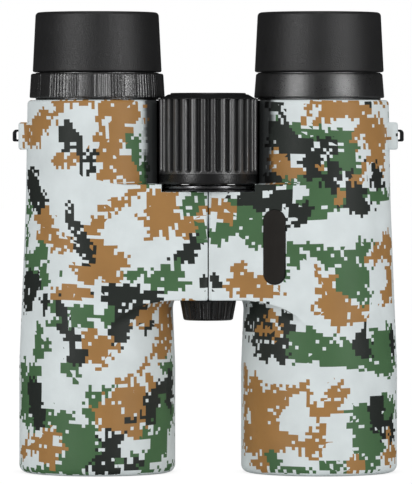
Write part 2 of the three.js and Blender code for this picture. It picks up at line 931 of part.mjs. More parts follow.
// The pieces that both barrels have, each built about the barrel axis.
function sharedPieces(side) {
  return [
    ["body_shell", bodyShell(side), "shell"],
    ["armour", armour(side), "armour"],
    ["objective_cell", objectiveCell(), "blackMetal"],
    ["objective_front_lens", lens(21.3, 6.9, 9.6, 2.2, 2.2, FINE), "coatedGlass"],
    ["objective_rear_lens", lens(21.3, 9.9, 14.6, -2.2, -0.6, FINE), "glass"],
    ["objective_ring", objectiveRing(), "blackMetal"],
    ["prism_cage", prismCage(), "shell"],
    ["half_penta_prism", halfPentaPrism(), "glass"],
    ["roof_prism", roofPrism(), "glass"],
    ["focus_cell", focusCell(), "blackMetal"],
    ["focus_lens", lens(16.7, 62, 66.4, -1.2, -1.2), "glass"],
    ["eyepiece_tube", eyepieceTube(side), "shell"],
    ["field_lens", fieldLens(side), "glass"],
    ["eye_lens", lens(12.6, 140.3, 144.5, 1.2, 0.2), "coatedGlass"],
    ["eye_lens_ring", tube(10.8, 12.6, 145, 147.1), "blackMetal"],
    ["eyecup_sleeve", tube(TUBE_RADIUS + GAP, 16, 134.1, 146.6, FINE), "satinBlack"],
    ["eyecup_core", eyecupCore(), "satinBlack"],
    ["eyecup_rubber", eyecupRubber(), "blackRubber"],
    ["strap_loop", strapLoop(), "blackMetal"],
  ];
}

// The right field lens sits in the diopter cell, the left one directly in the eyepiece tube.
function fieldLens(side) {
  const radius = side === "left" ? TUBE_BORE - GAP : 10.9;
  return lens(radius, 118.6, 122.5, 0.8, 1.6);
}

function barrel(side) {
  const group = new THREE.Group();
  const pieces = sharedPieces(side);
  if (side === "left") {
    pieces.push(["eyepiece_ring", eyepieceRing(), "satinBlack"]);
    pieces.push(["badge_inlay", badgeShape(0, BADGE_TOP - BADGE_THICKNESS, BADGE_TOP), "badge"]);
  } else {
    pieces.push(["diopter_ring", diopterRing(), "satinBlack"]);
    pieces.push(["diopter_cell", diopterCell(), "blackMetal"]);
    pieces.push(["diopter_pin", diopterPin(), "steel"]);
  }
  for (const [name, geometry, look] of pieces) {
    group.add(piece(`${side}_${name}`, side === "left" ? geometry : mirrored(geometry), look));
  }
  group.position.x = side === "left" ? BARREL_X : -BARREL_X;
  return group;
}

function centre() {
  const group = new THREE.Group();
  const bush = tube(SHAFT_RADIUS + GAP, BUSH_RADIUS, 75.2, 85.5);
  const screw = disc(SCREW_RADIUS, 66.5, 123.9, SMALL);
  const socket = tube(3.2, SHAFT_BORE, SHAFT_LOW + 0.2, SHAFT_STEP - GAP);
  const washer = tube(3.3, 6.9, 56.6, 58);
  group.add(piece("hinge_shaft", hingeShaft(), "steel"));
  group.add(piece("hinge_bush", bush, "brass"));
  group.add(piece("focus_collar", focusCollar(), "blackMetal"));
  group.add(piece("focus_collar_ring", tube(COLLAR_RING_INNER, 14.7, COLLAR_RING_LOW, 95.7, FINE), "brightMetal"));
  group.add(piece("focus_wheel_core", wheelCore(), "satinBlack"));
  group.add(piece("focus_wheel_grip", wheelGrip(), "blackRubber"));
  group.add(piece("focus_wheel_disc", wheelDisc(), "satinBlack"));
  group.add(piece("focus_screw", screw, "steel"));
  group.add(piece("focus_nut", focusNut(), "brass"));
  group.add(piece("focus_pin", focusPin(), "steel"));
  group.add(piece("focus_carriage", focusCarriage(), "blackMetal"));
  group.add(piece("tripod_socket", socket, "brass"));
  group.add(piece("tripod_cap", tripodCap(), "satinBlack"));
  group.add(piece("tripod_cap_washer", washer, "steel"));
  group.position.y = HINGE_Y;
  return group;
}

const binocular = new THREE.Group();
binocular.add(barrel("left"));
binocular.add(barrel("right"));
binocular.add(centre());

export default binocular;
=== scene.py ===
"""A roof-prism binocular in camouflage rubber armour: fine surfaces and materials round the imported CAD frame.

Lengths are millimetres until a mesh is made. Each barrel is shaped about its own axis with x pointing away
from the hinge, and the right one is mirrored. The angle used on the armour starts at the direction of the
hinge and grows towards the focus wheel's side, so 90 degrees is the front and 180 the outer side.
"""
import json
import math

import bmesh
import bpy
import numpy as np
from mathutils import Matrix, Vector


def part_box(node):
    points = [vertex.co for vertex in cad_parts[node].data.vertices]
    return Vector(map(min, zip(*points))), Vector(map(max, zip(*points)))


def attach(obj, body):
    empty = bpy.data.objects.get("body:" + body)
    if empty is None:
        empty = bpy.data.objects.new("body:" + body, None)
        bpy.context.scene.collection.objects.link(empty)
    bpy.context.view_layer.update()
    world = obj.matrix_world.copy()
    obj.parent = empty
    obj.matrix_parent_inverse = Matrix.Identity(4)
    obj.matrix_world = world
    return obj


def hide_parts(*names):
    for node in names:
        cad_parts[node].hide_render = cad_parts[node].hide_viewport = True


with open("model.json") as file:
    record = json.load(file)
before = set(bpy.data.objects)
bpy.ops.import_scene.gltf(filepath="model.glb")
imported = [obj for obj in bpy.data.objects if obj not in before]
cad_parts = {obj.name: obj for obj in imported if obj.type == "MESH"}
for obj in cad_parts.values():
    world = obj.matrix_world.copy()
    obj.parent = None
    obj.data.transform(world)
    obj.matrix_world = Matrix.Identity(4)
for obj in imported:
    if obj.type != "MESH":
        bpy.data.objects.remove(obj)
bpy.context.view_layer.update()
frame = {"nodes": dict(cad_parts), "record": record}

MM = 0.001


class Place:
    """A CAD node's box in millimetres."""

    def __init__(self, node):
        low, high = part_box(node)
        self.low = np.array(low) / MM
        self.high = np.array(high) / MM
        self.middle = (self.low + self.high) / 2
        self.radius = (self.high[0] - self.low[0]) / 2
        self.bottom = self.low[2]
        self.top = self.high[2]


at = {node: Place(node) for node in frame["nodes"]}
body_of = {node: body for body, nodes in frame["record"]["behaviour"]["bodies"].items() for node in nodes}
slot_of = {part["node"]: part["material_slot"] for part in frame["record"]["subparts"]}

# Layout, from the frame.
BARREL_X = at["left_eye_lens"].middle[0]
HINGE_Y = at["focus_wheel_disc"].middle[1]
BODY_TOP = at["left_armour"].top
GAP = 0.3
BRIDGE_LOW = at["tripod_cap"].low[2] + 6.9
BRIDGE_HIGH = at["focus_wheel_core"].bottom
WEB_LOW = 59.3
WEB_HIGH = 91.8

# Armour: height and radius pairs up the barrel, then the bridge.
BARREL_RADII = ((0, 26), (36, 26), (60, 25), (90, 23.8), (BODY_TOP, 23.2))
WALL = 1.5
RIM_ROUND = 2.6
TOP_ROUND = 1.3
LIP_RADIUS = 21.8
LIP_HEIGHT = 1.2
SADDLE_DIP = 1.9
SEAM_REACH = BARREL_X - 0.2
FILLET = 4
FILLET_REACH = 1.6
EDGE_SWEEP = 12
SHOULDER_FILLET = 1.2
EDGE_ROUND = 0.6
HINGE_CLEAR = 9.3
COLLAR_RECESS = 15.4
COLLAR_FLOOR = at["focus_collar"].bottom - GAP
WHEEL_SCOOP = 17.2
SHELL_SCOOP = 18.6
GRIP_RADIUS = 16.5
UNDERSIDE_ANGLE = math.radians(57)
UNDERSIDE_REACH = 10.8
UNDERSIDE_CORNER = (
    BARREL_X - UNDERSIDE_REACH * math.cos(UNDERSIDE_ANGLE),
    -HINGE_Y - UNDERSIDE_REACH * math.sin(UNDERSIDE_ANGLE),
)

# The camouflage is laid out on the unrolled barrel, in whole cells round it.
UNROLLED_RADIUS = 24.8
CELLS_ROUND = 142
CELL = 2 * math.pi * UNROLLED_RADIUS / CELLS_ROUND


# ---- mesh helpers ----


def unit(vector):
    return vector / np.linalg.norm(vector)


def rounded(corners, closed=True, steps=5):
    """A flat outline through corners (a, b, rounding), each rounding an arc that touches both edges."""
    path = []
    points = [np.array(corner[:2], float) for corner in corners]
    for i, here in enumerate(points):
        rounding = corners[i][2]
        if rounding == 0 or (not closed and i in (0, len(points) - 1)):
            path.append(here)
            continue
        before = unit(points[i - 1] - here)
        after = unit(points[(i + 1) % len(points)] - here)
        angle = math.acos(np.clip(before @ after, -1, 1))
        setback = rounding / math.tan(angle / 2)
        centre = here + unit(before + after) * rounding / math.sin(angle / 2)
        start = here + before * setback - centre
        end = here + after * setback - centre
        sweep = math.pi - angle
        for t in np.linspace(0, 1, steps + 1):
            arm = (math.sin((1 - t) * sweep) * start + math.sin(t * sweep) * end) / math.sin(sweep)
            path.append(centre + arm)
    return path


def new_object(name, vertices, faces, smooth_angle=32):
    mesh = bpy.data.meshes.new(name)
    mesh.from_pydata((np.array(vertices, float) * MM).tolist(), [], faces)
    work = bmesh.new()
    work.from_mesh(mesh)
    bmesh.ops.remove_doubles(work, verts=work.verts, dist=0.002 * MM)
    bmesh.ops.recalc_face_normals(work, faces=work.faces)
    work.to_mesh(mesh)
    work.free()
    mesh.shade_smooth()
    mesh.set_sharp_from_angle(angle=math.radians(smooth_angle))
    made = bpy.data.objects.new(name, mesh)
    bpy.context.scene.collection.objects.link(made)
    return made


def turned(name, outline, centre=(0, 0), sides=96, relief=None):
    """A body of revolution from [radius, z] points. relief(angles, z, radius) adds to the radius."""
    angles = np.arange(sides) * 2 * math.pi / sides
    vertices = []
    rings = []
    for radius, z in outline:
        first = len(vertices)
        if radius < 1e-6:
            vertices.append((centre[0], centre[1], z))
            rings.append([first] * sides)
            continue
        radii = radius + (relief(angles, z, radius) if relief else 0 * angles)
        for angle, r in zip(angles, radii):
            vertices.append((centre[0] + r * math.cos(angle), centre[1] + r * math.sin(angle), z))
        rings.append(list(range(first, first + sides)))
    on_axis = outline[0][0] < 1e-6
    faces = []
    for i in range(len(rings) - 1 if on_axis else len(rings)):
        lower, upper = rings[i], rings[(i + 1) % len(rings)]
        for k in range(sides):
            n = (k + 1) % sides
            quad = [lower[k], lower[n], upper[n], upper[k]]
            faces.append([v for j, v in enumerate(quad) if v not in quad[:j]])
    return new_object(name, vertices, faces)


def plate(name, outline, low, high, bevel=0.0):
    """A flat outline in x and y, raised from low to high, with its edges rounded."""
    count = len(outline)
    vertices = [(x, y, low) for x, y in outline] + [(x, y, high) for x, y in outline]
    faces = [list(range(count))[::-1], list(range(count, 2 * count))]
    for i in range(count):
        n = (i + 1) % count
        faces.append([i, n, count + n, count + i])
    made = new_object(name, vertices, faces)
    if bevel:
        rounding = made.modifiers.new("rounding", "BEVEL")
        rounding.width = bevel * MM
        rounding.segments = 3
        rounding.angle_limit = math.radians(50)
        bake_modifiers(made)
    return made


def block(x0, x1, y0, y1, z0, z1):
    return plate("block", [(x0, y0), (x1, y0), (x1, y1), (x0, y1)], z0, z1)


def bake_modifiers(piece):
    graph = bpy.context.evaluated_depsgraph_get()
    mesh = bpy.data.meshes.new_from_object(piece.evaluated_get(graph))
    piece.modifiers.clear()
    piece.data = mesh
    mesh.shade_smooth()
    mesh.set_sharp_from_angle(angle=math.radians(32))


def combine(piece, tools, operation):
    """Joins the tools to the piece or cuts them out of it, and removes the tools."""
    for tool in tools:
        step = piece.modifiers.new("step", "BOOLEAN")
        step.operation = operation
        step.solver = "MANIFOLD"
        step.object = tool
    bake_modifiers(piece)
    for tool in tools:
        bpy.data.objects.remove(tool)


def cut(piece, *tools):
    combine(piece, tools, "DIFFERENCE")


def join(piece, *tools):
    combine(piece, tools, "UNION")


def mirror(piece):
    piece.data.transform(Matrix.Scale(-1, 4, (1, 0, 0)))
    piece.data.flip_normals()
    return piece


def moved(piece, x, y, z=0.0):
    piece.data.transform(Matrix.Translation(Vector((x, y, z)) * MM))
    return piece


def disc(radius, low, high, centre=(0, 0), sides=96):
    return turned("disc", [(0, low), (radius, low), (radius, high), (0, high)], centre, sides)


# ---- materials ----


class Nodes:
    """A node tree. Its calls return output sockets, apart from node and put."""

    def __init__(self, tree):
        self.tree = tree

    def node(self, kind, inputs=None, **settings):
        made = self.tree.nodes.new(kind)
        for key, value in settings.items():
            setattr(made, key, value)
        for key, value in (inputs or {}).items():
            self.put(made.inputs[key], value)
        return made

    def put(self, socket, value):
        if isinstance(value, bpy.types.NodeSocket):
            self.tree.links.new(socket, value)
        else:
            socket.default_value = value

    def math(self, operation, *values):
        return self.node("ShaderNodeMath", dict(enumerate(values)), operation=operation).outputs[0]

    def vector(self, operation, *values, scale=None):
        made = self.node("ShaderNodeVectorMath", dict(enumerate(values)), operation=operation)
        if scale is not None:
            self.put(made.inputs["Scale"], scale)
        return made.outputs["Value" if operation == "LENGTH" else "Vector"]

    def remap(self, value, start, end, low=0.0, high=1.0, curve="LINEAR"):
        inputs = {"Value": value, "From Min": start, "From Max": end, "To Min": low, "To Max": high}
        return self.node("ShaderNodeMapRange", inputs, interpolation_type=curve).outputs[0]

    def choose(self, factor, off, on):
        """A number that goes from off to on as the factor goes from 0 to 1."""
        return self.node("ShaderNodeMix", {0: factor, 2: off, 3: on}, data_type="FLOAT").outputs[0]

    def split(self, vector):
        return self.node("ShaderNodeSeparateXYZ", {0: vector}).outputs


class Shader(Nodes):
    """A node material in millimetres."""

    def __init__(self, name):
        self.material = bpy.data.materials.new(name)
        self.material.use_nodes = True
        super().__init__(self.material.node_tree)
        self.tree.nodes.clear()
        self.surface = self.node("ShaderNodeBsdfPrincipled")
        output = self.node("ShaderNodeOutputMaterial")
        self.tree.links.new(output.inputs["Surface"], self.surface.outputs[0])
        place = self.node("ShaderNodeTexCoord").outputs["Object"]
        self.position = self.vector("SCALE", place, scale=1 / MM)

    def set(self, **inputs):
        for key, value in inputs.items():
            self.put(self.surface.inputs[key.replace("_", " ")], value)

    def hinge_distance(self):
        across = self.vector("SUBTRACT", self.position, (0.0, HINGE_Y, 0.0))
        return self.vector("LENGTH", self.vector("MULTIPLY", across, (1.0, 1.0, 0.0)))

    def noise(self, size, detail=2, where=None, seed=0):
        """Noise from 0 to 1 with features of about this size."""
        place = where or self.position
        if seed:
            place = self.vector("ADD", place, (seed * 37.0, seed * 11.0, seed * 5.0))
        inputs = {"Vector": place, "Scale": 1 / size, "Detail": detail}
        return self.node("ShaderNodeTexNoise", inputs).outputs["Fac"]

    def spread(self, value, low, high):
        """Noise's middle range stretched from low to high."""
        return self.remap(value, 0.3, 0.7, low, high)

    def shade(self, factor, dark, light):
        made = self.node("ShaderNodeMix", data_type="RGBA")
        self.put(made.inputs[0], factor)
        self.put(made.inputs[6], (*dark, 1))
        self.put(made.inputs[7], (*light, 1))
        return made.outputs[2]

    def bump(self, height, depth, below=None):
        inputs = {"Height": height, "Distance": depth * MM}
        if below:
            inputs["Normal"] = below
        return self.node("ShaderNodeBump", inputs).outputs[0]


def linear(*shades):
    """A colour from 0 to 255 display shades, as linear light."""
    levels = [shade / 255 for shade in shades]
    return tuple(c / 12.92 if c <= 0.04045 else ((c + 0.055) / 1.055) ** 2.4 for c in levels)


def grained(name, colour, roughness, grain, depth, metal=0.0, gloss=0.5, ior=1.5):
    """Moulded rubber or plastic: a fine skin grain, uneven gloss and faint worn patches."""
    s = Shader(name)
    skin = s.noise(grain, detail=3)
    cloud = s.noise(14, detail=3, seed=2)
    lighter = tuple(c * 1.3 + 0.001 for c in colour)
    s.set(Base_Color=s.shade(s.spread(cloud, 0.0, 1.0), colour, lighter))
    uneven = s.spread(skin, roughness - 0.05, roughness + 0.05)
    s.set(Roughness=s.math("ADD", uneven, s.spread(cloud, -0.03, 0.03)))
    s.set(Metallic=metal, Specular_IOR_Level=gloss, IOR=ior)
    s.set(Normal=s.bump(skin, depth))
    return s.material


def grip_rubber():
    """Focus-wheel rubber with painted shade in the grooves: darker colour and weaker reflection down in them,
    lighter with uneven tone on the ridges.
    """
    s = Shader("grip_rubber")
    skin = s.noise(0.4, detail=3)
    worn = s.noise(5, detail=3, seed=2)
    # Painted shade: colour and reflection fall off from the ridge tops down into the groove floors.
    lit_ridge = s.remap(s.hinge_distance(), GRIP_RADIUS - 1, GRIP_RADIUS - 0.1, curve="SMOOTHSTEP")
    lit_ridge_and_wear = s.math("MULTIPLY", lit_ridge, s.spread(worn, 0.85, 1.1))
    s.set(Base_Color=s.shade(lit_ridge_and_wear, linear(25, 25, 26), linear(50, 50, 51)))
    s.set(Roughness=s.spread(skin, 0.33, 0.43), IOR=1.8)
    s.set(Specular_IOR_Level=s.math("MULTIPLY_ADD", lit_ridge, 0.8, 0.2))
    s.set(Normal=s.bump(skin, 0.03))
    return s.material


def machined(name, colour, roughness):
    """Turned metal: fine tool lines round the axis and slight colour change."""
    s = Shader(name)
    stretched = s.vector("MULTIPLY", s.position, (1, 1, 14))
    lines = s.noise(1.2, detail=4, where=stretched)
    patches = s.noise(6, detail=2, seed=3)
    darker = tuple(c * 0.8 for c in colour)
    s.set(Base_Color=s.shade(s.spread(patches, 0, 1), darker, colour))
    s.set(Metallic=1.0, Roughness=s.spread(lines, roughness - 0.07, roughness + 0.09))
    s.set(Normal=s.bump(lines, 0.02))
    return s.material


def optical(name, tint, film):
    """Polished glass; a film gives the coloured reflection of an anti-reflection coating."""
    s = Shader(name)
    dust = s.noise(0.8, detail=4)
    s.set(Base_Color=(*tint, 1), IOR=1.52, Transmission_Weight=1.0, Metallic=0.0)
    s.set(Roughness=s.spread(dust, 0.004, 0.03))
    if film:
        thickness = s.spread(s.noise(18, seed=5), film - 12, film + 12)
        s.set(Thin_Film_Thickness=thickness, Thin_Film_IOR=1.38)
    return s.material


# ---- camouflage print ----

WHITE, BROWN, GREEN, BLACK = range(4)
PRINT_COLOURS = {
    WHITE: linear(218, 226, 227),
    BROWN: linear(165, 121, 66),
    GREEN: linear(72, 110, 71),
    BLACK: linear(39, 45, 41),
}


def radius_at(z):
    heights, radii = zip(*BARREL_RADII)
    return np.interp(z, heights, radii)


def unroll(x, z):
    """Distance round the barrel from its front line, towards the hinge, of a point seen from the front."""
    inward = BARREL_X - abs(x)
    if inward > 0 and BRIDGE_LOW < z < BRIDGE_HIGH:
        return inward
    return UNROLLED_RADIUS * math.asin(max(-0.97, min(0.97, inward / radius_at(z))))


# The print as seen from the front, painted in this order over white: a colour, then its patches as
# (x, z, half width, half height) and a tilt in degrees where there is one. x is across the whole binocular.
RIGHT_PRINT = (
    (BROWN, (
        (-56.5, 115.5, 6.4, 3.4, 30), (-58, 110, 2.2, 1.6), (-61.5, 113.5, 1.8, 1.6),
        (-47.5, 122, 3.4, 1.2, 10), (-43.5, 123.5, 6.2, 0.8), (-29.5, 120, 7, 5),
        (-32, 110.5, 5.2, 5.4, -15), (-32, 105, 6.4, 3), (-27, 102, 4.8, 3.2), (-24.5, 98.5, 3.4, 2.4),
        (-41, 106.5, 3.4, 1.4, 20), (-49, 103.5, 1.8, 2.8), (-45.5, 104.5, 1.2, 2.2), (-28, 112, 4, 3.4),
        (-32.5, 99, 3.8, 2), (-21.5, 93, 4.8, 1.8, 8), (-27.5, 91, 5, 2, 30), (-34, 87.5, 3.4, 1.6, 8),
        (-37, 82.5, 3.4, 2.2, 40), (-15.5, 86.5, 6, 6.6), (-6, 82.5, 4.4, 3.2, 20), (-1.5, 87.5, 2.8, 2.4),
        (-11, 90, 0.8, 2.2), (-54, 85, 2.6, 5, 8), (-53, 79.5, 3.4, 3.2), (-48, 76, 4, 2),
        (-33, 71.5, 5.8, 4.2), (-37, 75.5, 3.4, 2.8, 30), (-39, 67, 5.8, 3.2, 10), (-32, 66.5, 3.8, 2.8),
        (-46.5, 60.5, 3.8, 2.2, 20),
    )),
    (BLACK, (
        (-46.5, 115, 1.8, 2.8), (-44, 110.5, 2.6, 3.2), (-39, 105.5, 1.8, 2), (-38, 101.5, 1.4, 1.8),
        (-41.5, 102.5, 0.8, 2.2), (-58.5, 97, 2.4, 4.2), (-56.5, 91.5, 3, 4), (-46, 88, 0.8, 2.2, -15),
        (-43.5, 82.5, 1.8, 4.8, 22), (-40.5, 75, 2.2, 4.4, 20), (-3.5, 78.5, 2, 2.4),
        (-6, 74.5, 3.4, 2.8, 35), (-10, 71.5, 2.8, 1, 12), (-58.5, 64, 3.4, 4), (-1, 64, 1.8, 1.6),
        (-46.5, 111.5, 2.2, 4),
    )),
    (GREEN, (
        (-24.5, 109.5, 2.8, 2.6), (-23, 105, 1.6, 4), (-21, 101.5, 1.4, 5), (-59.5, 87.5, 1.2, 3.4),
        (-60.5, 78, 1, 6.6), (-57.5, 71, 4, 2.6), (-54.5, 75, 1.6, 2.2), (-54, 65, 1.6, 2.8),
        (-5.5, 89.5, 3.2, 2.6, 20), (-2, 91.5, 1.6, 2.2), (-1, 80.5, 2, 2.4), (-18, 66, 5, 2.6),
        (-14, 64.5, 4.6, 4), (-26, 65.5, 1.8, 1.6), (-48, 67, 0.6, 2.4), (-11, 66.5, 2.2, 3.8, -20),
    )),
    (WHITE, (
        (-27.5, 107, 1, 1.8), (-33, 115, 0.6, 3.2), (-20.5, 108.5, 1.6, 4.4), (-21.5, 90, 1, 2.8, -10),
        (-34, 96, 2.2, 0.8),
    )),
    (BROWN, (
        (-44, 60.5, 6.2, 2.2), (-36.5, 42.5, 5.8, 4, 8), (-39, 47.5, 1.6, 2), (-31.5, 44, 1.8, 2.6, -20),
        (-38, 39.5, 4, 1.6), (-35.5, 37.5, 1.2, 2),
    )),
    (BLACK, (
        (-59.5, 57.5, 2.4, 3.4), (-54, 57, 1.2, 2.8), (-61, 60.5, 1.6, 2.2), (-48, 52, 2.2, 5, 5),
        (-45, 45.5, 2.4, 4.4, 15), (-43.5, 39.5, 2.4, 4, 10), (-29.5, 60, 6.2, 3.4), (-31, 54.5, 3.4, 3.8),
        (-29, 49.5, 3.2, 5.2), (-24, 54.5, 6.6, 2.8, 30), (-20.5, 50.5, 2.4, 2.6), (-16.5, 58, 2.2, 1.6),
        (-21, 57, 3.6, 2.8),
    )),
    (BROWN, (
        (-20.5, 53.5, 4.6, 2.4, 35), (-14, 49, 2.8, 8.2, -8), (-16, 40.5, 2.2, 3.2, -30),
    )),
    (GREEN, (
        (-51, 56, 1.4, 1.2), (-41.5, 54, 4, 2.2), (-51, 51, 1.8, 1.4), (-42, 50.5, 2.8, 1.6),
        (-33, 53.5, 1.4, 2.8), (-56, 43.5, 1.4, 5), (-53.5, 43, 1.4, 1.4), (-46, 35.5, 2.2, 1.6),
        (-43.5, 33, 1.2, 1.4), (-61, 31, 1.4, 7.2), (-58, 33, 2.4, 3.6), (-57.5, 18, 1.6, 3.2),
        (-60.5, 22, 2.4, 8.2), (-50.5, 18, 6.2, 3.2, -8), (-46, 14, 5.6, 5), (-42, 10.5, 6.6, 6.8),
        (-43, 4, 7, 4), (-37.5, 25.5, 2.2, 3.4), (-38, 20, 2.8, 4), (-34, 28, 3.4, 1.4, 10),
        (-56, 2, 7.6, 2.2), (-15.5, 20, 4.6, 7.2), (-15.5, 9.5, 5.2, 5), (-22, 14.5, 3.4, 2.2),
        (-13, 35.5, 2.2, 2.8), (-19.5, 3.5, 7.4, 2.6), (-28, 7, 3.4, 2.8),
    )),
    (BLACK, (
        (-58, 28.5, 1.6, 3.4), (-57, 24, 2.2, 5, -5), (-56, 18.5, 1.6, 3.8, -10), (-20, 21, 2.4, 4.4),
        (-17, 28.5, 2.4, 2.2), (-12.5, 27.5, 1.6, 5.6),
    )),
    (BROWN, (
        (-25, 25.5, 6, 4.6), (-33, 21, 4.4, 3.8), (-28.5, 18, 6.6, 4), (-24, 15.5, 2.8, 2),
        (-26, 31.5, 1.8, 1.4), (-19.5, 30.5, 1.6, 2), (-21, 36, 2.2, 1.2, 30),
    )),
    (BLACK, (
        (-31, 10.5, 3.8, 4.8), (-35.5, 3.5, 3.4, 2.8), (-18.5, 24.5, 2.4, 3), (-31, 2, 3.4, 1.6),
        (-25, 4, 2.6, 2), (-26, 18, 2.2, 1, 10),
    )),
    (BROWN, (
        (-52, 10.5, 4.2, 4.6, 20), (-57, 10, 3.2, 2.6), (-53, 6.5, 2.8, 2.8), (-61, 7, 1.2, 2.2),
    )),
    (WHITE, (
        (-26.5, 10, 2.2, 2.8), (-20.5, 10.5, 1, 1.6, -20), (-12, 9, 2, 5, -25), (-14, 4.5, 3.4, 1.8, 20),
        (-50.5, 12, 0.8, 2.4, 30), (-61.5, 14.5, 1.2, 3.2), (-58.5, 3.5, 2.2, 1.6), (-46, 15.5, 0.6, 1.4),
    )),
)
